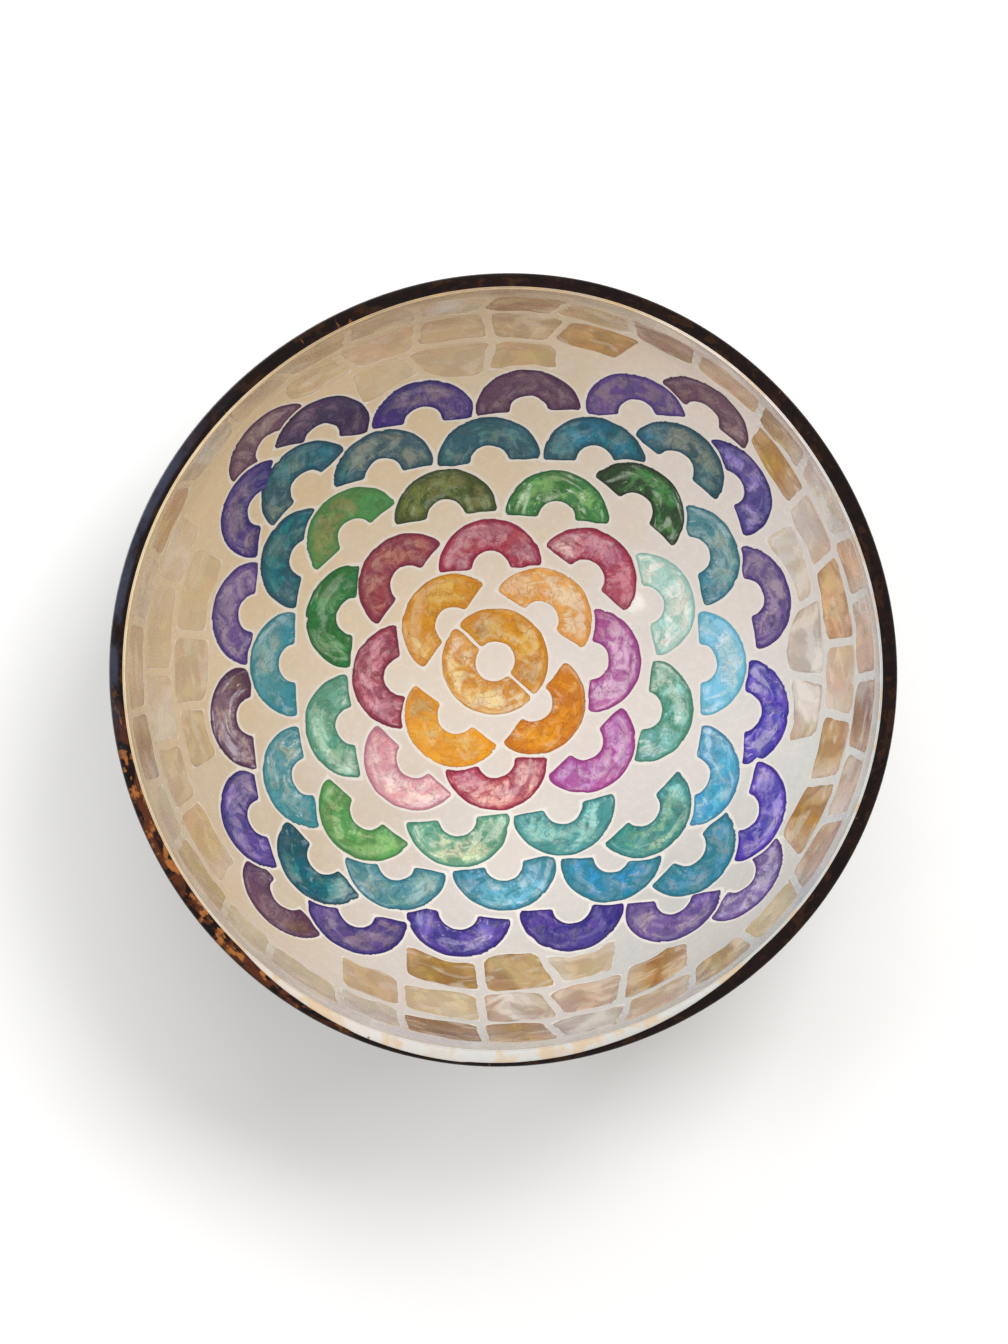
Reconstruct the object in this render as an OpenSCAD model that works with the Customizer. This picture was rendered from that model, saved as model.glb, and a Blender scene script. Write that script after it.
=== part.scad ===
// Half coconut shell bowl, lacquered inside and inlaid with dyed half rings and chips of natural shell.
// The bowl stands on its ground foot: +Z is up, Z = 0 is the foot, and the Z axis is the hollow's axis.
// All lengths are in millimetres and all angles in degrees.

/* [Coconut shell] */
// Height of the rim above the foot
rim_height = 55; // [54:0.5:60]
// Outer radius of the coconut at its widest
shell_radius = 67.6; // [66:0.1:72]
// How far the widest section lies below the rim
shell_widest_drop = 4; // [2.5:0.5:6]
// How much of the nut's end is ground away to make the flat foot
foot_cut = 2.2; // [1.8:0.1:3]
// How far the nut's side arc stops short of the nut's end, seen in section
shell_side_short = 7.2; // [5.5:0.1:9]
// Lean of the nut inside the level rim
shell_lean = 5.5; // [0:0.5:7]
// Bearing of the side that the nut leans down to
shell_lean_bearing = 164; // [0:1:359]

/* [Hollow] */
// Coconut and lacquer between the widest section's radius and the hollow's radius at the rim
rim_wall = 3.1; // [2.6:0.1:4]
// Coconut and lacquer between the foot and the bottom of the hollow
floor_wall = 3; // [2.6:0.1:4]
// How far the hollow's side arc stops short of the bottom, seen in section
hollow_side_short = 9; // [7:0.5:11]

/* [Lacquer] */
// Thickness of the lacquer coat between the coconut and the inlay
base_thickness = 0.5; // [0.3:0.1:0.9]
// Thickness of the lacquer poured between the inlaid pieces
fill_thickness = 0.6; // [0.4:0.1:0.8]

/* [Dyed half rings] */
// Outer radius of a half ring
petal_radius = 9.6; // [9.3:0.05:9.8]
// Radius of the hole in a half ring
petal_hole_radius = 3.4; // [3:0.1:4]
// Pitch that spaces the half rings over the hollow
petal_pitch = 9.4; // [9.2:0.05:9.5]
// Gap left where a half ring is nipped to fit beside its neighbour
petal_gap = 0.5; // [0.4:0.05:0.8]
// Gap between the two halves of the middle ring
seam_gap = 0.5; // [0.4:0.05:0.8]

/* [Natural shell tiles] */
// Plain lacquer between the rim and the first course of tiles
tile_margin = 6; // [4.5:0.5:8]
// Height of a tile, measured up the wall
tile_height = 8.4; // [7:0.1:8.5]
// Width of a tile, measured round the wall
tile_width = 11.2; // [9:0.2:12]
// Lacquer between neighbouring tiles
tile_gap = 1.4; // [1.3:0.1:2.2]
// How far a tile's top and foot wander from an even course
tile_wander = 0.5; // [0:0.05:0.5]
// How far the joints between tiles wander from an even spacing
tile_stagger = 1.7; // [0:0.1:2]
// Least height of a tile that is worth setting
tile_least = 3.4; // [3:0.1:4]

/* [Inlay] */
// How far the inlaid pieces stand proud of the lacquer between them
inlay_proud = 0.1; // [0:0.05:0.2]
// Side clearance between an inlaid piece and the lacquer round it
inlay_clearance = 0.08; // [0.05:0.01:0.12]

/* [Hidden] */
// Overrun of every cutting shape past what it cuts
overrun = 0.3;
// Facets of the outlines' arcs and of the turned shapes
arc_fn = 96;
turn_fn = 180;

// Half rings as [bearing, distance from the middle as a share of petal_pitch, turn from straight outward]
orange_shares = [[43, 1.2, 13], [139, 1.07, 6], [234, 1.3, 0], [313, 1.1, 10]];
pink_shares = [
    [1, 1.86, -4], [43, 2.42, 8], [93, 1.82, 0], [138, 2.3, 4],
    [189, 1.85, -2], [230, 2.5, -3], [270, 1.92, 5], [318, 2.35, -5]
];
green_shares = [
    [21, 3.2, -10], [67, 3.1, 19], [109, 3.05, -12], [162, 2.95, 14],
    [204, 3.1, -18], [256, 3.2, 20], [295, 3.15, -13], [342, 3.1, 8],
    [48, 4.15, 0], [138, 3.8, -8], [229, 3.95, 2], [315, 4.15, 0]
];
teal_shares = [
    [0, 4.1, 2], [29, 4.55, -17], [64, 4.55, 26], [92, 4.05, 4],
    [121, 4.45, -21], [151, 4.4, 17], [180, 4.05, 1], [211, 4.45, -20],
    [243, 4.55, 16], [272, 4.05, 8], [301, 4.55, -28], [330, 4.6, 21],
    [48, 5.5, 6], [137, 5.35, -1], [228, 5.35, -3], [316, 5.5, 1]
];
purple_shares = [
    [15, 5.35, -4], [38, 6.1, -22], [61, 6, 36], [83, 5.25, 13], [51, 6.95, 6],
    [107, 5.2, -14], [128, 6, -37], [146, 5.9, 31], [168, 5.1, 10], [136, 6.75, -1],
    [192, 5.15, -11], [213, 5.85, -25], [240, 5.95, 19], [261, 5.2, 1], [227, 6.65, -9],
    [287, 5.25, -14], [307, 6.15, -35], [329, 6, 18], [349, 5.2, 11], [319, 6.9, 8]
];
purple_side_count = 5;
petal_shares = concat(orange_shares, pink_shares, green_shares, teal_shares, purple_shares);
first_pink = len(orange_shares);
first_green = first_pink + len(pink_shares);
first_teal = first_green + len(green_shares);
first_purple = first_teal + len(teal_shares);
middle_bearings = [47, 227];

// The hollow lies inside the coconut by the thickness of the wall
hollow_radius = shell_radius - rim_wall;
hollow_depth = rim_height - floor_wall;
hollow_side_radius = hollow_depth - hollow_side_short;

// The hollow in section: an arc about the axis for the bottom and a tighter arc for the side,
// which meet where both are square to the same line.
side_centre = hollow_radius - hollow_side_radius;
hollow_bottom_radius = (side_centre ^ 2 + hollow_depth ^ 2 - hollow_side_radius ^ 2)
    / (2 * (hollow_depth - hollow_side_radius));
bottom_centre = rim_height + hollow_bottom_radius - hollow_depth;
join_angle = atan2(side_centre, bottom_centre - rim_height);
join_reach = arc(hollow_bottom_radius, join_angle);
rim_reach = join_reach + arc(hollow_side_radius, 90 - join_angle);

// The coconut's own section has the same two arcs, from its widest section down to its end
shell_depth = rim_height - shell_widest_drop + foot_cut;
shell_side_radius = shell_depth - shell_side_short;
shell_side_centre = shell_radius - shell_side_radius;
shell_bottom_radius = (shell_side_centre ^ 2 + shell_depth ^ 2 - shell_side_radius ^ 2)
    / (2 * (shell_depth - shell_side_radius));

lacquer_thickness = fill_thickness + base_thickness;
// Reach of the wedges that bound the arcs, past all that they bound
far = 3 * shell_radius;
// How far a piece's prism goes into the wall and into the hollow, to pass right through its curved coat
cutter_foot = fill_thickness + overrun;
cutter_top = petal_radius ^ 2 / (2 * hollow_side_radius) + overrun;

tile_courses = 3;
course_pitch = tile_height + tile_gap;
tile_slots = [for (course = [0:tile_courses - 1]) slots_in(course)];

// Length of an arc
function arc(radius, angle) = radius * angle * PI / 180;
// Angle of an arc
function arc_angle(radius, length) = length / radius * 180 / PI;
// A steady scatter between -1 and 1, the same each time for the same number
function scatter(n) = sin(137.5 * n * n + 61 * n);

// Slope, radius and height of the hollow's surface at a distance from the middle, measured along the surface
function slope(reach) = reach < join_reach
    ? arc_angle(hollow_bottom_radius, reach)
    : join_angle + arc_angle(hollow_side_radius, reach - join_reach);
function wall_radius(reach) = reach < join_reach
    ? hollow_bottom_radius * sin(slope(reach))
    : side_centre + hollow_side_radius * sin(slope(reach));
function wall_height(reach) = reach < join_reach
    ? bottom_centre - hollow_bottom_radius * cos(slope(reach))
    : rim_height - hollow_side_radius * cos(slope(reach));

// A half ring's place on the surface, and the surface's directions there
function reach_of(p) = p[1] * petal_pitch;
function spot(p) = let (r = wall_radius(reach_of(p)))
    [r * cos(p[0]), r * sin(p[0]), wall_height(reach_of(p))];
function outward(p) = let (f = slope(reach_of(p))) [cos(f) * cos(p[0]), cos(f) * sin(p[0]), sin(f)];
function sideways(p) = [-sin(p[0]), cos(p[0]), 0];

// How far down and up the wall a half ring or a tile can reach
function petal_low(index) = reach_of(petal_shares[index]) - petal_radius;
function petal_high(index) = reach_of(petal_shares[index]) + petal_radius + overrun;
function tile_low(corners) = min([for (c = corners) c[0]]) - overrun;

// Where half ring q lies as seen from p, with the surface laid out flat: [outward, sideways, turn]
function seen_from(p, q) =
    let (
        gap = spot(q) - spot(p),
        flat = [gap * outward(p), gap * sideways(p)],
        even = flat * norm(gap) / norm(flat),
        ahead = outward(q)
    )
    [even[0], even[1], atan2(ahead * sideways(p), ahead * outward(p)) + q[2]];

// Does half ring p reach within petal_gap of half ring q?
function meets(p, q) =
    let (s = seen_from(p, q))
    norm([s[0], s[1]]) < 2 * petal_radius + petal_gap
    && max([for (a = [-90:7.5:90])
        let (
            x = petal_radius * cos(a + p[2]) - s[0],
            y = petal_radius * sin(a + p[2]) - s[1]
        )
        norm([x, y]) < petal_radius + petal_gap && x * cos(s[2]) + y * sin(s[2]) > -petal_gap ? 1 : 0
    ]) > 0;

// How high the purple scallops reach at a bearing, for the tiles above them to clear
function scallop_reach(bearing) = max([for (p = purple_shares)
    let (
        crown = reach_of(p) + petal_radius / 2,
        off = arc(wall_radius(crown), (bearing - p[0] + 540) % 360 - 180)
    )
    abs(off) < petal_radius ? reach_of(p) + sqrt(petal_radius ^ 2 - off ^ 2) : 0
]);

// The courses of tiles, counted from the rim down
function course_top(course) = rim_reach - tile_margin - course * course_pitch;
function course_radius(course) = wall_radius(course_top(course) - tile_height / 2);
function course_count(course) = floor(360 / arc_angle(course_radius(course), tile_width + tile_gap));
// Bearing of the joint before tile i, at its top (level 0) or its foot (level 1)
function joint_bearing(course, i, level) =
    let (count = course_count(course), seed = 400 * course + 20 * (i % count) + 7 * level)
    (i + course / 2) * 360 / count + arc_angle(course_radius(course), tile_stagger) * scatter(seed);
// Tiles of a course, each as six corners [reach, bearing] that run round it from its near top corner
function slots_in(course) =
    let (gap = arc_angle(course_radius(course), tile_gap), top = course_top(course))
    [for (i = [0:course_count(course) - 1])
        let (
            seed = 400 * course + 20 * i,
            near = joint_bearing(course, i, 1),
            third = (joint_bearing(course, i + 1, 1) - gap - near) / 3,
            tops = [for (k = [1:2]) top + tile_wander * scatter(seed + k)],
            feet = [for (k = [0:3]) max(
                top - tile_height + tile_wander * scatter(seed + 3 + k),
                scallop_reach(near + k * third) + tile_gap)]
        )
        if (min(tops) - max(feet) > tile_least)
            concat(
                [[tops[0], joint_bearing(course, i, 0)]],
                [for (k = [0:3]) [feet[k], near + k * third]],
                [[tops[1], joint_bearing(course, i + 1, 0) - gap]]
            )
    ];

// The hollow's section, grown outward by a thickness: the bottom's stretch, and the side's beyond the join
module bottom_section(grow) {
    intersection() {
        translate([0, bottom_centre]) circle(r = hollow_bottom_radius + grow, $fn = turn_fn);
        polygon([[0, bottom_centre], [0, bottom_centre - far],
            [far * tan(join_angle), bottom_centre - far]]);
    }
}

module side_section(grow) {
    intersection() {
        translate([side_centre, rim_height]) circle(r = hollow_side_radius + grow, $fn = turn_fn);
        polygon([[side_centre, rim_height], [side_centre + far * tan(join_angle), rim_height - far],
            [side_centre + far, rim_height]]);
    }
}

module hollow_section(grow) {
    bottom_section(grow);
    side_section(grow);
}

// Coats that follow the hollow between two depths below its surface, on the bottom and up the side
module bottom_coat(from, to) {
    rotate_extrude($fn = turn_fn) difference() {
        bottom_section(to);
        translate([0, bottom_centre]) circle(r = hollow_bottom_radius + from, $fn = turn_fn);
    }
}

module side_coat(from, to) {
    rotate_extrude($fn = turn_fn) difference() {
        side_section(to);
        translate([side_centre, rim_height]) circle(r = hollow_side_radius + from, $fn = turn_fn);
    }
}

// Half of the whole nut's section about its own middle, carried on past its widest
module nut_section() {
    rise = shell_bottom_radius - shell_depth;
    spread = atan2(shell_side_centre, rise);
    intersection() {
        translate([0, rise]) circle(r = shell_bottom_radius, $fn = turn_fn);
        polygon([[0, rise], [0, rise - far], [far * tan(spread), rise - far]]);
    }
    intersection() {
        translate([shell_side_centre, 0]) circle(r = shell_side_radius, $fn = turn_fn);
        polygon([[shell_side_centre, 0], [shell_side_centre + far * tan(spread), -far],
            [far, -far], [far, far / 2]]);
    }
}

// Puts a flat outline on the hollow's surface, with X pointing up the wall and Z into the hollow
module on_wall(bearing, reach) {
    rotate([0, 0, bearing])
        translate([wall_radius(reach), 0, wall_height(reach)])
            rotate([0, -slope(reach), 0])
                translate([0, 0, -cutter_foot])
                    linear_extrude(height = cutter_foot + cutter_top) children();
}

// Half a disc of the half rings' size, grown all round
module half_disc(grow) {
    intersection() {
        circle(r = petal_radius + grow, $fn = arc_fn);
        translate([-grow, -petal_radius - grow])
            square([petal_radius + 2 * grow, 2 * (petal_radius + grow)]);
    }
}

module half_ring(grow) {
    difference() {
        half_disc(grow);
        circle(r = petal_hole_radius - grow, $fn = arc_fn);
    }
}

// A half ring's outline, nipped where it would meet one that was laid before it
module petal_outline(index, grow) {
    p = petal_shares[index];
    earlier = [for (j = [0:1:index - 1]) if (meets(p, petal_shares[j])) seen_from(p, petal_shares[j])];
    difference() {
        rotate([0, 0, p[2]]) half_ring(grow);
        for (s = earlier) translate([s[0], s[1]]) rotate([0, 0, s[2]]) half_disc(petal_gap - grow);
    }
}

module petal_prism(index, grow) {
    on_wall(petal_shares[index][0], reach_of(petal_shares[index])) petal_outline(index, grow);
}

// The middle ring's halves, one on each side of its seam
module middle_prism(index, grow) {
    on_wall(middle_bearings[index], 0) translate([seam_gap / 2, 0]) half_ring(grow);
}

// A tile's outline about its own middle, grown by the clearance where it is a seat
module tile_prism(corners, grow) {
    reach = (corners[0][0] + corners[1][0]) / 2;
    bearing = (corners[0][1] + corners[5][1]) / 2;
    radius = wall_radius(reach);
    on_wall(bearing, reach) polygon([for (k = [0:5])
        let (
            c = corners[k],
            up = k == 0 || k == 5 ? grow : -grow,
            side = k < 2 ? -grow : k > 3 ? grow : 0
        )
        [c[0] - reach + up, arc(wall_radius(c[0]), c[1] - bearing) + side]
    ]);
}

// Gives a prism the thickness and curve of an inlaid piece; low and high say how far up the wall it goes
module inlay(low, high) {
    if (low < join_reach) intersection() {
        bottom_coat(-inlay_proud, fill_thickness);
        children();
    }
    if (high > join_reach) intersection() {
        side_coat(-inlay_proud, fill_thickness);
        children();
    }
}

// The half coconut: polished outside, cut level at the rim, ground flat at the foot
module coconut_shell() {
    color([0.16, 0.09, 0.06]) difference() {
        intersection() {
            translate([0, 0, rim_height - shell_widest_drop])
                rotate([0, 0, shell_lean_bearing]) rotate([0, shell_lean, 0])
                    rotate_extrude($fn = turn_fn) nut_section();
            cylinder(r = far, h = rim_height);
        }
        rotate_extrude($fn = turn_fn) hollow_section(lacquer_thickness);
    }
}

// Cream lacquer brushed on the coconut, which beds the inlay
module lacquer_base() {
    color([0.86, 0.81, 0.72]) rotate_extrude($fn = turn_fn) difference() {
        hollow_section(lacquer_thickness);
        hollow_section(fill_thickness);
    }
}

// Cream lacquer poured flush between the inlaid pieces
module lacquer_fill() {
    color([0.9, 0.86, 0.79]) {
        difference() {
            bottom_coat(0, fill_thickness);
            for (i = [0:1]) middle_prism(i, inlay_clearance);
            for (i = [0:len(petal_shares) - 1])
                if (petal_low(i) < join_reach) petal_prism(i, inlay_clearance);
            for (slots = tile_slots) for (corners = slots)
                if (tile_low(corners) < join_reach) tile_prism(corners, inlay_clearance);
        }
        difference() {
            side_coat(0, fill_thickness);
            for (i = [0:len(petal_shares) - 1])
                if (petal_high(i) > join_reach) petal_prism(i, inlay_clearance);
            for (slots = tile_slots) for (corners = slots) tile_prism(corners, inlay_clearance);
        }
    }
}

module middle_half(index, shade) {
    color(shade) inlay(0, petal_radius) middle_prism(index, 0);
}

module petal(index, shade) {
    color(shade) inlay(petal_low(index), petal_high(index)) petal_prism(index, 0);
}

module purple_petals(side) {
    for (i = [0:purple_side_count - 1])
        petal(first_purple + side * purple_side_count + i, [0.42, 0.33, 0.62]);
}

module shell_tiles(course) {
    for (corners = tile_slots[course])
        color([0.82, 0.73, 0.6]) inlay(tile_low(corners), rim_reach) tile_prism(corners, 0);
}

coconut_shell();
lacquer_base();
lacquer_fill();
middle_half(0, [0.85, 0.6, 0.2]);  // middle_ring_upper
middle_half(1, [0.93, 0.82, 0.55]);  // middle_ring_lower
for (i = [1:len(orange_shares)])
    petal(i - 1, [0.95, 0.65, 0.2]);
for (i = [1:len(pink_shares)])
    petal(first_pink + i - 1, [0.76, 0.36, 0.52]);
for (i = [1:len(green_shares)])
    petal(first_green + i - 1, [0.3, 0.6, 0.42]);
for (i = [1:len(teal_shares)])
    petal(first_teal + i - 1, [0.25, 0.58, 0.66]);
for (i = [1:len(purple_shares) / purple_side_count])
    purple_petals(i - 1);
for (i = [1:tile_courses])
    shell_tiles(i - 1);
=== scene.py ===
from math import atan2, cos, degrees, hypot, pi, radians, sin, sqrt

import bmesh
import bpy
import numpy as np
from bpy.props import FloatProperty, FloatVectorProperty, PointerProperty
from mathutils import Matrix, Vector, noise


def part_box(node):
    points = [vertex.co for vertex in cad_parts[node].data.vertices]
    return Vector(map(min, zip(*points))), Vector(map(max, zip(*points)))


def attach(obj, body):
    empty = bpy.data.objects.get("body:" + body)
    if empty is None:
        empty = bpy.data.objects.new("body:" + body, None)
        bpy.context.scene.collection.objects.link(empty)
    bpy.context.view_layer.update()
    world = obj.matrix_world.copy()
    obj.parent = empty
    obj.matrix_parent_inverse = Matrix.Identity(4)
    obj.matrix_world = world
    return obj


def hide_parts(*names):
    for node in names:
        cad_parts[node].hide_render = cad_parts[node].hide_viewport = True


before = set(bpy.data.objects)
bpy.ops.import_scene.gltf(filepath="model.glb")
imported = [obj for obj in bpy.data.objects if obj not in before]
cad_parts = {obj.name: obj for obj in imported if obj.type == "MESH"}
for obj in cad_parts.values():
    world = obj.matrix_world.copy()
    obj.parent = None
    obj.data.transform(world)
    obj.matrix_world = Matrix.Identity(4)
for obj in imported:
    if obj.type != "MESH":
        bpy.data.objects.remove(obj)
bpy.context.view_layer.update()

bl_info = {
    "name": "Inlaid Coconut Shell Bowl",
    "version": (1, 0, 0),
    "blender": (4, 5, 0),
    "location": "View3D > Sidebar > Bowl",
    "description": "Builds a coconut shell bowl, lacquered inside and inlaid with dyed half rings",
    "category": "Add Mesh",
}

MM = 0.001
SHARP = radians(45)

# The dyer's colours, as 8-bit red, green and blue
DYES = {
    "pale_gold": (244, 216, 162), "gold": (232, 188, 104), "amber": (216, 140, 32),
    "ochre": (204, 166, 110), "smoke_tan": (206, 176, 142), "apricot": (248, 218, 182),
    "orange": (240, 162, 58), "rust": (202, 118, 38), "blush": (252, 222, 216), "salmon": (244, 188, 184),
    "rose": (216, 142, 162), "dusty_rose": (200, 134, 146), "brick_rose": (184, 118, 112),
    "maroon": (140, 32, 66), "crimson": (166, 14, 66), "orchid": (214, 164, 216),
    "pale_orchid": (234, 192, 226), "magenta": (172, 58, 150), "pale_mint": (246, 250, 242),
    "mint": (210, 236, 218), "pale_aqua": (176, 228, 220), "aqua": (146, 212, 206),
    "sea_green": (146, 198, 168), "jade": (72, 150, 126), "leaf": (142, 192, 120), "fern": (74, 146, 78),
    "emerald": (24, 112, 52), "forest": (18, 48, 20), "moss": (122, 130, 66), "dark_moss": (54, 76, 18),
    "olive": (138, 148, 90), "lime": (214, 226, 188), "sky": (192, 232, 252), "azure": (112, 202, 234),
    "blue_teal": (64, 152, 198), "steel_blue": (88, 152, 178), "steel": (60, 140, 164),
    "cyan": (120, 192, 220), "cyan_teal": (50, 144, 160), "teal": (36, 124, 146),
    "deep_teal": (14, 80, 102), "lagoon": (42, 132, 136), "grey_teal": (140, 180, 178),
    "slate_teal": (90, 140, 142), "stone_teal": (134, 148, 138), "sage": (172, 190, 170),
    "lavender": (178, 168, 212), "periwinkle": (154, 140, 212), "lilac": (140, 124, 190),
    "violet": (120, 110, 190), "deep_violet": (92, 80, 158), "iris": (156, 146, 220),
    "bright_iris": (128, 120, 220), "vivid_violet": (64, 46, 172), "royal": (82, 58, 142),
    "indigo": (50, 36, 128), "night": (46, 32, 80), "plum": (84, 44, 88), "mauve": (160, 142, 174),
    "grey_mauve": (134, 116, 144), "brown_mauve": (134, 108, 122), "warm_mauve": (158, 134, 140),
    "pale_mauve": (188, 164, 166), "dusk": (106, 84, 110), "umber": (96, 62, 54),
}

# Half rings of each colour in the order they are laid. A row is the bearing (degrees), the distance
# from the middle (pitches), the turn from straight outward (degrees), the share of pearly streaks,
# the body's colour, the dye, and the colours of the first and last end where they aren't the body's
HALF_RINGS = {
    "orange": [
        (43, 1.2, 13, 0.5, "apricot", "orange"), (139, 1.07, 6, 0.35, "gold", "amber", "gold", "pale_gold"),
        (234, 1.3, 0, 0.25, "gold", "orange", "ochre", "orange"), (313, 1.1, 10, 0.4, "orange", "rust"),
    ],
    "pink": [
        (1, 1.86, -4, 0.5, "pale_orchid", "magenta", "pale_orchid", "rose"),
        (43, 2.42, 8, 0.25, "rose", "crimson", "rose", "blush"),
        (93, 1.82, 0, 0.25, "dusty_rose", "crimson"), (138, 2.3, 4, 0.1, "brick_rose", "maroon"),
        (189, 1.85, -2, 0.35, "rose", "maroon", "dusty_rose", "dusty_rose"),
        # This half ring's pale blush body is partly a painted highlight of glare on it
        (230, 2.5, -3, 0.5, "blush", "rose", "salmon", "blush"),
        (270, 1.92, 5, 0.4, "salmon", "crimson", "rose", "salmon"),
        (318, 2.35, -5, 0.45, "orchid", "magenta"),
    ],
    "green": [
        # The first green half ring's pale mint body is partly a painted highlight of glare on it
        (21, 3.2, -10, 0.8, "pale_mint", "pale_aqua"), (67, 3.1, 19, 0.75, "leaf", "emerald"),
        (109, 3.05, -12, 0.2, "moss", "dark_moss"), (162, 2.95, 14, 0.3, "fern", "emerald"),
        (204, 3.1, -18, 0.4, "sea_green", "jade", "mint", "mint"),
        # This half ring's pale lime body is partly a painted highlight of glare on it
        (256, 3.2, 20, 0.6, "lime", "jade", "sea_green", "sea_green"),
        (295, 3.15, -13, 0.3, "aqua", "lagoon"), (342, 3.1, 8, 0.65, "aqua", "jade", "sky", "mint"),
        (48, 4.15, 0, 0.5, "fern", "forest", "fern", "dark_moss"),
        (138, 3.8, -8, 0.1, "olive", "fern", "fern", "olive"), (229, 3.95, 2, 0.25, "leaf", "fern"),
        (315, 4.15, 0, 0.3, "sea_green", "lagoon", "jade", "aqua"),
    ],
    "teal": [
        (0, 4.1, 2, 0.6, "sky", "azure"),
        (29, 4.55, -17, 0.4, "grey_teal", "teal", "steel_blue", "grey_teal"),
        (64, 4.55, 26, 0.15, "steel", "deep_teal", "teal", "slate_teal"),
        (92, 4.05, 4, 0.15, "slate_teal", "deep_teal"),
        (121, 4.45, -21, 0.15, "stone_teal", "deep_teal", "stone_teal", "lagoon"),
        (151, 4.4, 17, 0.12, "lagoon", "deep_teal"),
        (180, 4.05, 1, 0.4, "grey_teal", "cyan_teal", "cyan_teal", "cyan_teal"),
        (211, 4.45, -20, 0.6, "grey_teal", "cyan_teal", "sage", "cyan_teal"),
        (243, 4.55, 16, 0.3, "grey_teal", "teal"),
        (272, 4.05, 8, 0.4, "cyan", "teal", "steel_blue", "steel_blue"),
        (301, 4.55, -28, 0.2, "blue_teal", "teal"),
        (330, 4.6, 21, 0.5, "azure", "blue_teal", "azure", "sky"),
        (48, 5.5, 6, 0.12, "stone_teal", "deep_teal", "slate_teal", "steel"),
        (137, 5.35, -1, 0.12, "slate_teal", "deep_teal", "teal", "stone_teal"),
        (228, 5.35, -3, 0.25, "lagoon", "deep_teal", "deep_teal", "grey_teal"),
        (316, 5.5, 1, 0.2, "steel_blue", "teal"),
    ],
    "purple": [
        (15, 5.35, -4, 0.2, "mauve", "royal"), (38, 6.1, -22, 0.2, "periwinkle", "indigo"),
        (61, 6, 36, 0.1, "grey_mauve", "royal", "grey_mauve", "warm_mauve"),
        (83, 5.25, 13, 0.1, "brown_mauve", "plum"),
        (51, 6.95, 6, 0.1, "brown_mauve", "plum", "warm_mauve", "brown_mauve"),
        (107, 5.2, -14, 0.15, "grey_mauve", "indigo", "grey_mauve", "royal"),
        (128, 6, -37, 0.1, "dusk", "night"),
        (146, 5.9, 31, 0.12, "grey_mauve", "indigo", "indigo", "grey_mauve"),
        (168, 5.1, 10, 0.15, "mauve", "royal"),
        (136, 6.75, -1, 0.1, "warm_mauve", "plum", "brown_mauve", "brown_mauve"),
        (192, 5.15, -11, 0.7, "pale_mauve", "plum", "umber", "pale_mauve"),
        (213, 5.85, -25, 0.2, "lilac", "indigo", "mauve", "lilac"),
        (240, 5.95, 19, 0.15, "grey_mauve", "indigo", "mauve", "grey_mauve"),
        (261, 5.2, 1, 0.4, "violet", "indigo"),
        (227, 6.65, -9, 0.15, "brown_mauve", "plum", "grey_mauve", "umber"),
        (287, 5.25, -14, 0.12, "deep_violet", "indigo"),
        (307, 6.15, -35, 0.15, "mauve", "royal", "mauve", "lilac"),
        (329, 6, 18, 0.25, "iris", "vivid_violet", "violet", "iris"),
        (349, 5.2, 11, 0.6, "bright_iris", "vivid_violet"), (319, 6.9, 8, 0.3, "lavender", "royal"),
    ],
}
# The halves of the middle ring, in the same way
MIDDLE_HALVES = {
    "upper": (47, 0, 0, 0.3, "gold", "amber", "smoke_tan", "ochre"),
    "lower": (227, 0, 0, 0.6, "pale_gold", "amber", "apricot", "pale_gold"),
}

# How each colour's shell is dyed: scale of its blotches (1/mm), width (mm) and strength of the dark line at
# the edge, spread of the blotches, share of ashen places, play of the facets, and colour of its gleam
DYED_SHELLS = {
    "amber": (0.26, 0.4, 0.5, 0.8, 0.4, 0.45, (250, 240, 214)),
    "orange": (0.24, 0.42, 0.55, 0.75, 0.2, 0.3, (250, 234, 204)),
    "pink": (0.3, 0.76, 0.92, 0.72, 0.35, 0.7, (250, 228, 236)),
    "green": (0.28, 0.68, 0.9, 0.8, 0.3, 0.9, (230, 246, 230)),
    "teal": (0.24, 0.68, 0.88, 0.72, 0.42, 0.8, (220, 242, 248)),
    "purple": (0.24, 0.74, 0.92, 0.7, 0.35, 0.8, (234, 228, 250)),
}
PURPLE_SIDE_COUNT = 5

# Natural shell, and the stains that some tiles have
TILE_DYES = {
    "cream": (224, 206, 172), "tan": (200, 170, 128), "rosy": (218, 182, 156), "straw": (212, 182, 124),
    "honey": (190, 148, 80), "misty": (206, 196, 190), "bark": (142, 96, 56), "pearl": (234, 228, 222),
    "peach": (228, 190, 152),
}
TILE_COURSES = 3
TILE_ORDER = ("cream", "straw", "rosy", "pearl", "misty", "tan", "rosy", "honey", "pearl", "straw", "tan")
# The plainer tiles of the right side
PALE_TILES = ("pearl", "rosy", "misty", "pearl", "cream", "peach", "pearl", "misty", "rosy", "straw", "pearl")
# Tiles that stand out, as the bearing and reach (mm) of a point on them, and their colour
TILE_ACCENTS = [
    (291, 61, "honey"), (297, 68, "honey"), (272, 81, "honey"), (352, 80, "bark"), (351, 70, "tan"),
    (196, 80, "bark"), (336, 70, "honey"), (255, 62, "honey"), (284, 72, "rosy"), (15, 71, "peach"),
    # The darker tiles between bearings 36 and 104 are partly the shell's own colour and partly painted shade
    # at the top of the wall
    (258, 82, "bark"), (36, 70, "honey"), (59, 80, "bark"), (72, 71, "honey"), (41, 81, "tan"),
    (18, 81, "peach"), (81, 81, "tan"), (104, 81, "tan"), (330, 81, "rosy"),
]

# Steps round the bowl of a turned piece, and rows and steps of the poured coat, which needs more
TURNED_STEPS = 288
POURED_ROWS, POURED_STEPS = 140, 560
# First number of the middle ring's halves, from which their scatter comes
MIDDLE_SEED = 200
# Bearing of the side whose tiles show plainest through the lacquer
PLAIN_BEARING = -20

# Rounding of a slab's corners and top edges
CORNER = 0.85 * MM
EDGE_ROUND = 0.2 * MM
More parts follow.
